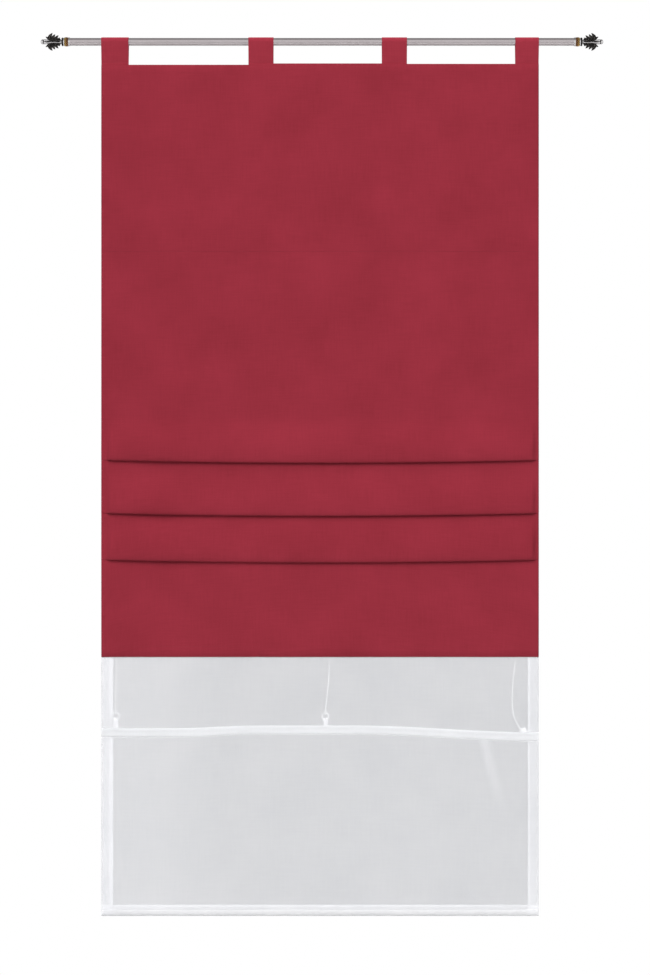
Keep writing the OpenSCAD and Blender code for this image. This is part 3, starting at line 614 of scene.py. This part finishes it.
def rowBow(x):
    # the row is level in its middle and droops towards both ends
    v = voile
    if x < v["levelFrom"]:
        share, droop = min(1.0, (v["levelFrom"] - x) / v["droopRun"]), v["droopLeft"]
    else:
        share, droop = min(1.0, max(0.0, x - v["levelTo"]) / (v["halfWidth"] - v["levelTo"])), v["droopRight"]
    return -droop * (1 - cos(pi * share)) / 2


def voileDrift(x, z, top, bottom):
    held = min(eased((top - z) / 70), eased((z - bottom) / 70))
    return -voile["wave"] * held * (0.35 + 0.65 * noise.noise(Vector((x / 170, z / 260, 9.1))))


def hemmedSides(inner):
    # side hems turned back once, with a narrow turn-in along the stitching
    w, sides = voile["halfWidth"], []
    for hem, turn in zip((voile["leftHem"], voile["rightHem"]), voile["turnIns"]):
        sides.append([(-w + hem - turn, 0.70), (-w + hem - 0.3, 0.70), (-w + hem, 0.56),
                      (-w + hem - 0.3, 0.42), (-w + hem - turn, 0.38), (-w + hem / 2, 0.36), (-w + 0.6, 0.36),
                      (-w, 0.18), (-w + 0.6, 0), (-w + 5, 0), (-w + 12, 0), (-w + hem, 0)])
    return sides[0] + [(x, 0) for x in inner] + [(-x, back) for x, back in reversed(sides[1])]


def creased(x, down):
    # a soft crease that starts at the pocket and fades out below it
    place, spread = voile["creaseX"] + voile["creaseSlope"] * down, 5 + 0.08 * down
    fade = eased(down / 12) * eased((110 - down) / 90)
    return -voile["creaseDepth"] * exp(-((x - place) / spread) ** 2) * fade


voileInner = sorted([x * 14 for x in range(-26, 27)] + [x * 2.5 + 288 for x in range(25)])


def upperLine(x):
    head, foot, steps = voile["top"], voile["row"] + rowBow(x) + voile["upperFoot"], 16
    heights = [head + (foot - head) * k / steps for k in range(steps + 1)]
    return [(voile["depth"] + voileDrift(x, z, head, foot), z) for z in heights]


def skirtLine(x):
    head, foot, y = voile["row"] + rowBow(x) + voile["skirtHead"], voile["bottom"], voile["depth"]
    hemTop = foot + voile["bottomHem"]
    line = [(y + 0.35, head + 1.55)]
    for k in range(40):
        down = (head - hemTop) * k / 40
        line.append((y + voileDrift(x, head - down, head, hemTop) + creased(x, down), head - down))
    # the hem is flat and double above, and round below, where it holds the weight bar
    hem = [(-0.25, 20.5), (-0.4, 18.5), (-0.2, 15), (0.08, 12.4), (-0.2, 11.2), (-0.78, 10), (-1.38, 8.8),
           (-2.2, 7), (-2.95, 5.2), (-3.2, 3.2), (-3.05, 1.1), (-2.2, 0.32), (-0.4, 0.2), (0.6, 0.25),
           (1.5, 1.0), (2.0, 2.8), (2.15, 5.2), (1.9, 7.6), (1.1, 9.6), (0.5, 11.1), (0.42, 12.6), (0.42, 16),
           (0.42, 19.6), (0.55, 20.3), (0.78, 19.6), (0.8, 16)]
    return line + [(y + back, foot + up) for back, up in hem]


upper = clothSheet("voileUpper", hemmedSides(voileInner), upperLine, voile["thickness"], whiteVoile)
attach(upper, "root")
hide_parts("voile_upper")
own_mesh(upper)
skirt = clothSheet("voileSkirt", hemmedSides(voileInner), skirtLine, voile["thickness"], whiteVoile)
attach(skirt, "row_4")
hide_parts("voile_skirt")
for piece in (upper, skirt):
    piece.visible_shadow = False  # sheer cloth scatters light on to what lies behind it
print("voile hung")

# Batten pockets: flat sleeves with a stitched lip along the top, weighed down by their battens
pocketLooks = {"rows": (-384, -728, -912, -1259), "halfWidth": 398, "thickness": 0.35}
pocketLoop = [(-0.5, 8.0), (-0.8, 7.7), (-0.84, 5.0), (-0.86, 2.2), (-1.0, 0.2), (-1.45, -1.8), (-2.15, -4.2),
              (-2.25, -6.2), (-1.9, -7.7), (0.2, -7.85), (1.6, -7.75), (3.1, -7.4), (3.95, -5.8),
              (4.02, -2.5), (4.02, 2.5), (3.7, 5.4), (2.2, 6.3), (0.4, 6.6), (-0.15, 7.0), (-0.2, 7.8),
              (-0.5, 8.0)]


def pocketLine(level, bow):
    # the sleeve's loop at each place along its row
    return lambda x: [(y, level + z + bow(x)) for y, z in pocketLoop]


for number, level in enumerate(pocketLooks["rows"], 1):
    bowed = number == 4
    halfWidth = voile["halfWidth"] if bowed else pocketLooks["halfWidth"]
    bow = rowBow if bowed else lambda x: 0
    stations = [(halfWidth * s / 28, 0) for s in range(-28, 29)]
    pocket = clothSheet(f"pocket_{number}", stations, pocketLine(level, bow), pocketLooks["thickness"],
                        pocketVoile if bowed else whiteTape, closedLoop=True)
    lip = stitchRow("lipStitches", [(x, 0.12, level + 7.2 + bow(x)) for x, back in stations], whiteThread)
    pocket = joined(f"pocket_{number}", [lip, pocket])
    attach(pocket, f"row_{number}")
    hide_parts(f"batten_pocket_{number}")
    pocket.visible_shadow = not bowed
print("batten pockets sewn")

# Ring tapes: a strip with its end turned into a loop around the ring's wire
tapeLooks = {"width": 8.5, "thickness": 0.36, "loop": 2.5, "rowDepth": 4.52, "headDepth": 2.32}
ringPlaces = (-371, 16, 362)


def ringTape(name, x, depth, loopZ, plainZ):
    sign, loop = (1 if plainZ < loopZ else -1), tapeLooks["loop"]
    centre = depth + loop - 0.02
    line = [(depth, plainZ + (loopZ - plainZ) * k / 4) for k in range(4)]
    for k in range(14):
        a = pi * k / 8
        line.append((centre - loop * cos(a), loopZ + sign * loop * sin(a)))
    line += [(depth + 0.4, loopZ - sign * 3.4), (depth + 0.4, loopZ - sign * 7)]
    across = [(x + tapeLooks["width"] * (s / 4 - 0.5), 0) for s in range(5)]
    strip = clothSheet(name, across, lambda x: line, tapeLooks["thickness"], whiteTape)
    ends = [(x + reach, depth + 0.62, loopZ - sign * 5.4) for reach in (-3.8, 3.8)]
    return [stitchRow("tapeStitches", ends, whiteThread, length=1.4, gap=0.4), strip]


rowFourTapes = [(-374, 24.3), (10, 18.8), (373, 13)]
tapeSets = {}
for k, level in enumerate(pocketLooks["rows"][:3], 1):
    tapeSets[f"ring_tapes_{k}"] = (f"row_{k}", [(x, tapeLooks["rowDepth"], level + 20, level - 1)
                                                for x in ringPlaces])
rowFourLevels = [(x, up, voile["row"] + rowBow(x)) for x, up in rowFourTapes]
tapeSets["ring_tapes_4"] = ("row_4", [(x, tapeLooks["rowDepth"], level + up, level)
                                      for x, up, level in rowFourLevels])
tapeSets["heading_tapes"] = ("root", [(x, tapeLooks["headDepth"], -60, -45) for x in ringPlaces + (sideX,)])
for node, (body, places) in tapeSets.items():
    strips = []
    for place in places:
        strips += ringTape("strip", *place)
    tapes = joined(node + "_cloth", strips)
    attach(tapes, body)
    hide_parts(node)

# Heading band behind the top edge
bandLooks = {"halfWidth": 398, "top": -43.2, "height": 36.6, "depth": 1.7, "thickness": 0.5,
             "seams": (-46.5, -76.5), "seamReach": 394, "seamDepth": 1.98}
bandSides = [(bandLooks["halfWidth"] * s / 20, 0) for s in range(-20, 21)]
bandFace = [(bandLooks["depth"], bandLooks["top"] - bandLooks["height"] * k / 6) for k in range(7)]
band = clothSheet("headingBand", bandSides, lambda x: bandFace, bandLooks["thickness"], whiteTape)
bandEnds = [(x, bandLooks["seamDepth"]) for x in (-bandLooks["seamReach"], bandLooks["seamReach"])]
bandStitches = [stitchRow("bandStitches", [(x, y, z) for x, y in bandEnds], whiteThread)
                for z in bandLooks["seams"]]
band = joined("headingBand", bandStitches + [band])
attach(band, "root")
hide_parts("heading_band")
print("tapes and heading band sewn on")


def threadLine(name, points, radius, sides=8):
    # a short length of cord along a line of points, in mm
    obj, line, length = cordTube(name, [tuple(p) for p in points], 2 * radius * mm, sides)
    return obj


# Knots: the lift cords' half hitches round the rings of row 4, and the overhand knot inside the knob
knotLooks = {"turns": 2.5, "radius": 0.95, "cord": 0.72, "pitch": 1.0, "reach": 9.3, "steps": 26,
             "hitch": 1.82, "hitchCord": 0.68, "hitchSteps": 14, "leans": (0, 0, 45)}
ringRadius, ringReach, ringY = 6.4, 5.3, 7.0
back = Vector((0, 1, 0))
for where, (x, up, level), lean in zip(("left", "centre", "right"), rowFourLevels, knotLooks["leans"]):
    hangs = -1 if where == "right" else 1
    ringCentre = Vector((x, ringY, level + up + hangs * ringReach))
    a = radians(90 + lean)
    out = Vector((cos(a), 0, sin(a)))
    wide = back.cross(out)
    coil, around = [], []
    for k in range(knotLooks["steps"] + 1):
        turned = knotLooks["turns"] * k / knotLooks["steps"]
        a = 2 * pi * turned
        rise = knotLooks["reach"] + knotLooks["pitch"] * (turned - knotLooks["turns"] / 2)
        coil.append(ringCentre + out * rise + knotLooks["radius"] * (wide * cos(a) + back * sin(a)))
    for k in range(knotLooks["hitchSteps"] + 1):
        share = k / knotLooks["hitchSteps"]
        a = 2 * pi * share
        around.append(ringCentre + out * ringRadius + wide * 0.5 * (share - 0.5)
                      + knotLooks["hitch"] * (back * sin(a) + out * cos(a)))
    knot = joined("cordKnot_" + where, [threadLine("coil", coil, knotLooks["cord"]),
                                        threadLine("around", around, knotLooks["hitchCord"])])
    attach(knot, "row_4")
    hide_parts("cord_knots")
knobKnot = {"middle": Vector((sideX, knobY, -408.1)), "size": 0.86, "depth": 1.6, "cord": 1.25, "steps": 60}
overhand = []
for k in range(knobKnot["steps"] + 1):
    a = 2 * pi * k / knobKnot["steps"] * 0.985  # the loop's ends stop just short of each other
    overhand.append(knobKnot["middle"] + knobKnot["size"] * Vector((sin(a) + 2 * sin(2 * a),
                                                                    -sin(3 * a) * knobKnot["depth"],
                                                                    cos(a) - 2 * cos(2 * a))))
pullKnot = joined("pullKnot", [threadLine("overhand", overhand, knobKnot["cord"], 10)])
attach(pullKnot, "pull")
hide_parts("pull_knot")
print("knots tied")


def metalMaterial(name, dark, light, roughness, scale, bump, stretch=(1, 1, 1)):
    # a metal whose tone and shine wander a little, with fine grain or scratches along one way. The scale
    # counts grains per metre, so 620 puts them 1.6 mm apart.
    material, tree, shader = newMaterial(name, Metallic=1.0)
    mapped = addNode(tree, "Mapping", {"Scale": stretch},
                     {"Vector": addNode(tree, "TexCoord").outputs["Object"]})
    grain = addNode(tree, "TexNoise", {"Scale": scale, "Detail": 4.0}, {"Vector": mapped})
    colour = addNode(tree, "Mix", {6: linear(dark), 7: linear(light)}, {0: grain}, data_type="RGBA")
    shine = addNode(tree, "MapRange", {"To Min": roughness[0], "To Max": roughness[1]}, {"Value": grain})
    relief = addNode(tree, "Bump", {"Strength": 0.4, "Distance": bump}, {"Height": grain})
    feed(tree, shader, Base_Color=colour.outputs[2], Roughness=shine, Normal=relief)
    return material


def rodMaterial():
    # Nickel-plated steel tube, drawn with ten flutes: satin ridges, with painted shade darkening the grooves
    # in bands round its axis, and a tarnish that changes over about 11 cm
    material, tree, shader = newMaterial("nickel_plated_steel_tube", Metallic=1.0)
    place = addNode(tree, "TexCoord").outputs["Object"]
    parts = addNode(tree, "SeparateXYZ", links={"Vector": place})
    angle = addNode(tree, "Math", links={0: parts.outputs["Z"], 1: parts.outputs["Y"]}, operation="ARCTAN2")
    flutes = addNode(tree, "Math", {1: 10.0, 2: -10 * radians(11)}, {0: angle}, operation="MULTIPLY_ADD")
    wave = addNode(tree, "Math", links={0: flutes}, operation="COSINE")
    # painted shade: the colour darkens in ten grooves round the axis
    groove = addNode(tree, "MapRange", {"From Min": -0.3, "From Max": 1.0}, {"Value": wave})
    tarnish = addNode(tree, "TexNoise", {"Scale": 9.0, "Detail": 1.0}, {"Vector": place})
    tarnishAndGrooveShade = addNode(tree, "Math", {1: 0.2}, {0: tarnish, 2: groove}, operation="MULTIPLY_ADD")
    colour = addNode(tree, "Mix", {6: linear("#E3DBDD"), 7: linear("#A8A0A2")}, {0: tarnishAndGrooveShade}, data_type="RGBA")
    shine = addNode(tree, "MapRange", {"To Min": 0.26, "To Max": 0.36}, {"Value": tarnishAndGrooveShade})
    feed(tree, shader, Base_Color=colour.outputs[2], Roughness=shine)
    return material


def leafMaterial():
    # Zinc casting, blackened and rubbed back, so that raised edges show through the dark coat in spots about
    # 1.4 mm wide: partly real wear, partly a painted highlight on the leaves' edges and ridges
    material, tree, shader = newMaterial("blackened_zinc_casting", Metallic=0.75)
    rubbedAndHighlit = addNode(tree, "Attribute", attribute_name="rubbedAndHighlit").outputs["Fac"]
    patchy = addNode(tree, "TexNoise", {"Scale": 700.0, "Detail": 4.0},
                     {"Vector": addNode(tree, "TexCoord").outputs["Object"]})
    bareAndHighlit = addNode(tree, "Math", links={0: rubbedAndHighlit, 1: patchy}, operation="MULTIPLY")
    wornAndHighlit = addNode(tree, "MapRange", {"From Min": 0.3, "From Max": 0.62}, {"Value": bareAndHighlit})
    colour = addNode(tree, "Mix", {6: linear("#1A1817"), 7: linear("#ADA7A0")}, {0: wornAndHighlit}, data_type="RGBA")
    shine = addNode(tree, "MapRange", {"To Min": 0.5, "To Max": 0.3}, {"Value": wornAndHighlit})
    relief = addNode(tree, "Bump", {"Strength": 0.4, "Distance": 0.1 * mm}, {"Height": patchy})
    feed(tree, shader, Base_Color=colour.outputs[2], Roughness=shine, Normal=relief)
    return material


def plasticMaterial(name, colour, roughness):
    # moulded or painted skin: even colour, with a grain of about 1 mm that breaks up the shine
    material, tree, shader = newMaterial(name)
    grain = addNode(tree, "TexNoise", {"Scale": 900.0, "Detail": 3.0},
                    {"Vector": addNode(tree, "TexCoord").outputs["Object"]})
    tint = addNode(tree, "MapRange", {"To Min": 0.94, "To Max": 1.0}, {"Value": grain})
    shade = addNode(tree, "HueSaturation", {"Color": linear(colour)}, {"Value": tint})
    shine = addNode(tree, "MapRange", {"To Min": roughness - 0.05, "To Max": roughness + 0.05},
                    {"Value": grain})
    relief = addNode(tree, "Bump", {"Strength": 0.3, "Distance": 0.02 * mm}, {"Height": grain})
    feed(tree, shader, Base_Color=shade, Roughness=shine, Normal=relief)
    return material


rodSteel = rodMaterial()
# Turned zinc with bright plating: smooth, nearly mirror-like, with faint turning marks around its axis
silverZinc = metalMaterial("bright_plated_zinc", "#C4C1C2", "#EDEBEC", (0.16, 0.26), 260.0, 0.02 * mm,
                           (6, 1, 1))
# Antique brass: warm gold where it is rubbed, brown in the hollows
goldBrass = metalMaterial("antique_brass", "#8A6428", "#E9C877", (0.2, 0.38), 620.0, 0.06 * mm)
# Copper-brown lacquer over brass, on the side next to the collar
copperBrass = metalMaterial("browned_brass", "#5A3A22", "#B98B63", (0.25, 0.45), 620.0, 0.06 * mm)
# Brass left dark in the hollows of the rope
darkBrass = metalMaterial("tarnished_brass", "#241A10", "#5A4226", (0.45, 0.6), 620.0, 0.06 * mm)
blackZinc = leafMaterial()
# Oxidised steel: dark, slightly oily shine
screwSteel = metalMaterial("blackened_screw_steel", "#3C3B3D", "#5B5A5C", (0.35, 0.5), 900.0, 0.02 * mm)
# Moulded acetal rings: smooth and bright white, with a soft shine
whiteAcetal = plasticMaterial("moulded_acetal", "#FBFBFC", 0.32)
# Extruded PVC battens: a slightly grey white, satin
battenPvc = plasticMaterial("extruded_pvc", "#E6E7EA", 0.45)
# Steel bar with white paint: even, between the rings and the battens in gloss
paintedSteel = plasticMaterial("white_painted_steel", "#E9E9E9", 0.4)
# Moulded ABS knob: white, and the glossiest of the plastics
knobAbs = plasticMaterial("moulded_abs", "#F0F0F0", 0.28)

threePlaces = ("left", "centre", "right")
carried = {"curtain_rod": rodSteel, "pull_knob": knobAbs, "bottom_bar": paintedSteel}
carried.update({where + "_socket": silverZinc for where in ("left", "right")})
carried.update({where + "_set_screw": screwSteel for where in ("left", "right")})
carried.update({f"batten_{k}": battenPvc for k in (1, 2, 3, 4)})
carried.update({f"ring_{k}_{where}": whiteAcetal for k in (1, 2, 3, 4) for where in threePlaces})
carried.update({"guide_ring_" + where: whiteAcetal for where in threePlaces + ("side",)})
for node, material in carried.items():
    wear(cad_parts[node], material)
print("materials on carried-over parts")

# Rod ends: a twisted rope ring and a finial of four serrated leaves round a stem with a bud
rodEnd = {"shift": 3.6, "half": 461, "collar": 2.8, "rope": 7.4, "neck": 1.8, "disc": 3.2}
ropeLooks = {"strands": 14, "radius": 8.5, "groove": 1.25, "bore": 6.1, "twist": 52, "slices": 8,
             "endShare": 0.94, "hollow": 0.91, "brownShare": 0.6}


def ropeCrest(share):
    # the rope is thickest half way along the ring, as a share of its radius
    return ropeLooks["endShare"] + (1 - ropeLooks["endShare"]) * sin(pi * share)


def ropeRing(name, side):
    start = rodEnd["shift"] + side * (rodEnd["half"] + rodEnd["collar"] + 0.1)
    span, slices = rodEnd["rope"] - 0.2, ropeLooks["slices"]
    clearSelection()
    bpy.ops.mesh.primitive_circle_add(vertices=ropeLooks["strands"] * 8, radius=ropeLooks["radius"] * mm,
                                      fill_type="NOTHING", location=(start * mm, 0, 0),
                                      rotation=(0, pi / 2, 0))
    ring = bpy.context.object
    applyPlace(ring)
    for vertex in ring.data.vertices:
        strand = abs(cos(ropeLooks["strands"] * atan2(vertex.co.z, vertex.co.y) / 2)) ** 0.8
        share = 1 - ropeLooks["groove"] / ropeLooks["radius"] * (1 - strand)
        vertex.co.y *= share * ropeCrest(0)
        vertex.co.z *= share * ropeCrest(0)
    editAll(ring)
    centre = (start * mm, 0, 0)
    turn = radians(ropeLooks["twist"] / slices) * side
    for k in range(1, slices + 1):
        bpy.ops.mesh.extrude_region_move(TRANSFORM_OT_translate={"value": (side * span / slices * mm, 0, 0)})
        grow = ropeCrest(k / slices) / ropeCrest((k - 1) / slices)
        bpy.ops.transform.resize(value=(1, grow, grow), center_override=centre)
        bpy.ops.transform.rotate(value=turn, orient_axis="X", center_override=centre)
    bpy.ops.mesh.select_all(action="DESELECT")
    bpy.ops.mesh.select_mode(type="EDGE")
    bpy.ops.mesh.select_non_manifold()
    bpy.ops.mesh.extrude_region_move()
    bpy.ops.object.mode_set(mode="OBJECT")
    for vertex in ring.data.vertices:
        if vertex.select:
            flat = ropeLooks["bore"] * mm / hypot(vertex.co.y, vertex.co.z)
            vertex.co.y *= flat
            vertex.co.z *= flat
    bpy.ops.object.mode_set(mode="EDIT")
    bpy.ops.mesh.bridge_edge_loops()
    bpy.ops.mesh.select_all(action="SELECT")
    bpy.ops.mesh.normals_make_consistent(inside=False)
    bpy.ops.object.mode_set(mode="OBJECT")
    ring.name = ring.data.name = name
    wear(ring, goldBrass, copperBrass, darkBrass)
    for polygon in ring.data.polygons:
        share = side * (polygon.center.x / mm - start) / span
        radius = hypot(polygon.center.y, polygon.center.z) / mm
        crest = ropeLooks["radius"] * ropeCrest(max(0.0, min(1.0, share)))
        hollow = abs(polygon.normal.x) < 0.8 and radius < ropeLooks["hollow"] * crest
        polygon.material_index = 2 if hollow else 1 if share < ropeLooks["brownShare"] else 0
    smooth(ring, 60)
    return ring


# places along the finial from its disc, and radii there, in mm
turnedOutline = [(-14, 0), (-14, 2.1), (-13.6, 2.45), (0, 2.45), (0, 7.0), (0.5, 7.65), (1.2, 7.8),
                 (2.0, 7.8), (2.7, 7.6), (3.2, 7.0), (3.3, 4.0), (4.2, 3.3), (6, 2.6), (10, 2.1), (16, 1.9),
                 (21, 2.1), (25, 2.9), (29, 3.9), (32, 4.55), (34.6, 4.75), (35.6, 4.6), (36.1, 4.15),
                 (36.7, 4.15), (37.2, 4.6), (38.2, 4.6), (39.8, 4.1), (41.2, 2.8), (42, 1.4), (42.2, 0)]
# root and tip of each blade of a leaf, along the finial and out from its axis, with width, thickness and bow
leafBlades = [((0.3, 2.4), (26.5, 3.6), 8.4, 2.6, 0.0), ((7.5, 2.2), (2.6, 7.7), 5.0, 2.4, 0.9),
              ((11.5, 2.6), (5.8, 12.1), 6.4, 2.6, 1.3), ((16.2, 2.8), (11.8, 14.0), 7.2, 2.6, 1.6),
              ((21.5, 2.6), (16.6, 16.4), 8.2, 2.8, 2.4), ((20.5, 2.4), (29.8, 9.4), 5.6, 2.4, -0.6)]


def leafBlade(root, tip, width, thick, bow):
    # a flat ridged blade, drawn in the leaf's own plane: X along the finial, Z out from its axis
    clearSelection()
    bpy.ops.mesh.primitive_uv_sphere_add(segments=8, ring_count=10, radius=1)
    blade = bpy.context.object
    root, tip = Vector((root[0], 0, root[1])), Vector((tip[0], 0, tip[1]))
    reach = tip - root
    square = Vector((reach.z, 0, -reach.x)).normalized()
    rubbedAndHighlit = blade.data.attributes.new("rubbedAndHighlit", "FLOAT", "POINT")
    for vertex in blade.data.vertices:
        share = 1 - acos(max(-1.0, min(1.0, vertex.co.z))) / pi
        flat = hypot(vertex.co.x, vertex.co.y)
        c, s = (vertex.co.x / flat, vertex.co.y / flat) if flat > 1e-4 else (0, 0)
        fullness = min(1.0, 0.35 + 4 * share) * (1 - share) ** 0.62 * (1 + 0.3 * sin(pi * share))
        ridge, edge = abs(s) > 0.95, abs(c) > 0.95
        sideways = c * (1.0 if edge else 0.62)
        lift = s * (1.0 if ridge else 0.36)
        middle = root + reach * share + square * bow * 4 * share * (1 - share)
        thinned = (1 - 0.65 * share) * min(1.0, 0.4 + 3 * share) * thick / 2
        vertex.co = (middle + square * sideways * fullness * width / 2
                     + Vector((0, 1, 0)) * lift * thinned) * mm
        # painted highlight and wear: the blade's edges and ridge lines are marked to show light metal
        rubbedAndHighlit.data[vertex.index].value = 1.0 if edge else 0.85 if ridge else 0.0
    return blade


def turnedBody(name):
    # half the outline, spun round the finial's axis
    clearSelection()
    bpy.ops.mesh.primitive_circle_add(vertices=len(turnedOutline), fill_type="NOTHING")
    body = bpy.context.object
    for vertex, (along, radius) in zip(body.data.vertices, turnedOutline):
        vertex.co = Vector((along, 0, radius)) * mm
    pick(body)
    bpy.ops.object.mode_set(mode="EDIT")
    bpy.ops.mesh.select_mode(type="EDGE")
    bpy.ops.mesh.select_all(action="DESELECT")
    bpy.ops.object.mode_set(mode="OBJECT")
    for edge in body.data.edges:
        edge.select = all(body.data.vertices[i].co.z < 0.0001 * mm for i in edge.vertices)
    bpy.ops.object.mode_set(mode="EDIT")
    bpy.ops.mesh.delete(type="EDGE")
    bpy.ops.mesh.select_all(action="SELECT")
    bpy.ops.mesh.spin(steps=40, angle=2 * pi, center=(0, 0, 0), axis=(1, 0, 0))
    bpy.ops.mesh.select_all(action="SELECT")
    bpy.ops.mesh.remove_doubles(threshold=0.00001)
    bpy.ops.mesh.normals_make_consistent(inside=False)
    bpy.ops.object.mode_set(mode="OBJECT")
    # the calyx under the bud has four bright lobes, with grooves between them that are painted dark as shade
    for vertex in body.data.vertices:
        along, a = vertex.co.x / mm, atan2(vertex.co.z, vertex.co.y)
        lobe = 1 - 0.16 * cos(4 * a) * eased((along - 20) / 6) * eased((37 - along) / 3)
        vertex.co.y *= lobe
        vertex.co.z *= lobe
    body.name = name
    body.data.attributes.new("rubbedAndHighlit", "FLOAT", "POINT")
    wear(body, blackZinc, silverZinc)
    # painted shade: the calyx grooves, in line with the leaves, take the blackened zinc as the leaves'
    # shadow; the disc and the band round the bud take it too
    for polygon in body.data.polygons:
        along, a = polygon.center.x / mm, atan2(polygon.center.z, polygon.center.y)
        shadedGroove = 21 < along < 35.7 and cos(4 * a) > 0.6
        polygon.material_index = 0 if along < 3.25 or 35.7 < along < 37.4 or shadedGroove else 1
    smooth(body, 40)
    return body


def leafFinial(name, side):
    leaf = []
    for blade in leafBlades:
        piece = leafBlade(*blade)
        piece.location.x = rodEnd["disc"] * mm
        applyPlace(piece)
        leaf.append(piece)
    leaf = joined("leaf", leaf)
    wear(leaf, blackZinc, silverZinc)
    smooth(leaf, 25)
    parts = [leaf] + [copyOf(leaf, f"leaf{k}") for k in (1, 2, 3)]
    for k, part in enumerate(parts):
        part.rotation_euler.x = k * pi / 2
        applyPlace(part)
    finial = joined(name, parts + [turnedBody("body")])
    start = rodEnd["shift"] + side * (rodEnd["half"] + rodEnd["collar"] + rodEnd["rope"] + rodEnd["neck"])
    finial.rotation_euler.z = 0 if side > 0 else pi
    finial.location.x = start * mm
    applyPlace(finial)
    return finial


for side, where in ((-1, "left"), (1, "right")):
    ring = ropeRing(where + "RopeRing", side)
    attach(ring, "root")
    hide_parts(where + "_rope_ring")
    finial = leafFinial(where + "Finial", side)
    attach(finial, "root")
    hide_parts(where + "_leaf_finial")
print("rod ends built")

# Studio: a pale floor far below the blind, broad light from above, a second one behind, and a dim fill
studio = {"floorZ": -2.5, "floorY": -0.85, "floorSize": (4.4, 4.2, 1), "floorColour": "#D0D0D0",
          "ambient": 0.18, "seenThrough": "#9B9C9F",
          "keyPower": 2.0, "keyHeight": 44, "keyTurn": -18, "keySoftness": 48,
          "backPower": 2.6, "backHeight": 48, "backTurn": 160, "backSoftness": 48,
          "topPower": 13, "topPlace": (0.2, -2.2, 0.8), "topTilt": 62, "topSize": 1.2}
clearSelection()
bpy.ops.mesh.primitive_plane_add(size=1, location=(0, studio["floorY"], studio["floorZ"]))
floor = bpy.context.object
floor.name = "studioFloor"
floor.scale = studio["floorSize"]
applyPlace(floor)
wear(floor, newMaterial("matt_floor_paint", Base_Color=linear(studio["floorColour"]), Roughness=0.8)[0])


def softLight(name):
    # a very broad light from one side, which the metals don't mirror
    clearSelection()
    height, turn = radians(studio[name + "Height"]), radians(studio[name + "Turn"])
    towards = Vector((sin(turn) * cos(height), -cos(turn) * cos(height), sin(height)))
    bpy.ops.object.light_add(type="SUN", location=towards * 3)
    light = bpy.context.object
    light.name = name + "Light"
    light.data.energy = studio[name + "Power"]
    light.data.angle = radians(studio[name + "Softness"])
    light.rotation_euler = (-towards).to_track_quat("-Z", "Y").to_euler()
    light.visible_glossy = False


softLight("key")
softLight("back")
clearSelection()
tilt = radians(studio["topTilt"])
bpy.ops.object.light_add(type="AREA", location=studio["topPlace"], rotation=(tilt, 0, 0))
topLight = bpy.context.object
topLight.name = "topLight"
topLight.data.energy = studio["topPower"]
topLight.data.size = studio["topSize"]
topLight.visible_glossy = False

# White behind the object. Seen through the voile it is the grey studio wall, so that white cords stand out.
# Metals mirror a bright wall at their own height, with darkness above and below.
world = bpy.context.scene.world or bpy.data.worlds.new("studioWorld")
bpy.context.scene.world = world
world.use_nodes = True
tree = world.node_tree
tree.nodes.clear()
path = addNode(tree, "LightPath")
direction = addNode(tree, "SeparateXYZ", links={"Vector": addNode(tree, "TexCoord").outputs["Generated"]})
steep = addNode(tree, "Math", links={0: direction.outputs["Z"]}, operation="ABSOLUTE")
mirrored = addNode(tree, "MapRange", {"From Min": 0.2, "From Max": 0.9, "To Min": 1.0, "To Max": 0.3},
                   {"Value": steep}, interpolation_type="SMOOTHSTEP")
veiled = addNode(tree, "Math", {1: 0.5}, {0: path.outputs["Transparent Depth"]}, operation="GREATER_THAN")
backdrop = addNode(tree, "Mix", {6: (1, 1, 1, 1), 7: linear(studio["seenThrough"])}, {0: veiled},
                   data_type="RGBA")
seen = addNode(tree, "Math", links={0: path.outputs["Is Camera Ray"], 1: path.outputs["Is Transmission Ray"]},
               operation="MAXIMUM")
dim = addNode(tree, "Background", {"Color": (1, 1, 1, 1), "Strength": studio["ambient"]})
shine = addNode(tree, "Background", {"Color": (1, 1, 1, 1)}, {"Strength": mirrored})
plain = addNode(tree, "Background", {"Strength": 1.0}, {"Color": backdrop.outputs[2]})
mixed = addNode(tree, "MixShader", links={0: path.outputs["Is Glossy Ray"], 1: dim, 2: shine})
mixed = addNode(tree, "MixShader", links={0: seen, 1: mixed, 2: plain})
addNode(tree, "OutputWorld", links={"Surface": mixed})
bpy.context.scene.view_settings.view_transform = "Standard"
print("studio lit")
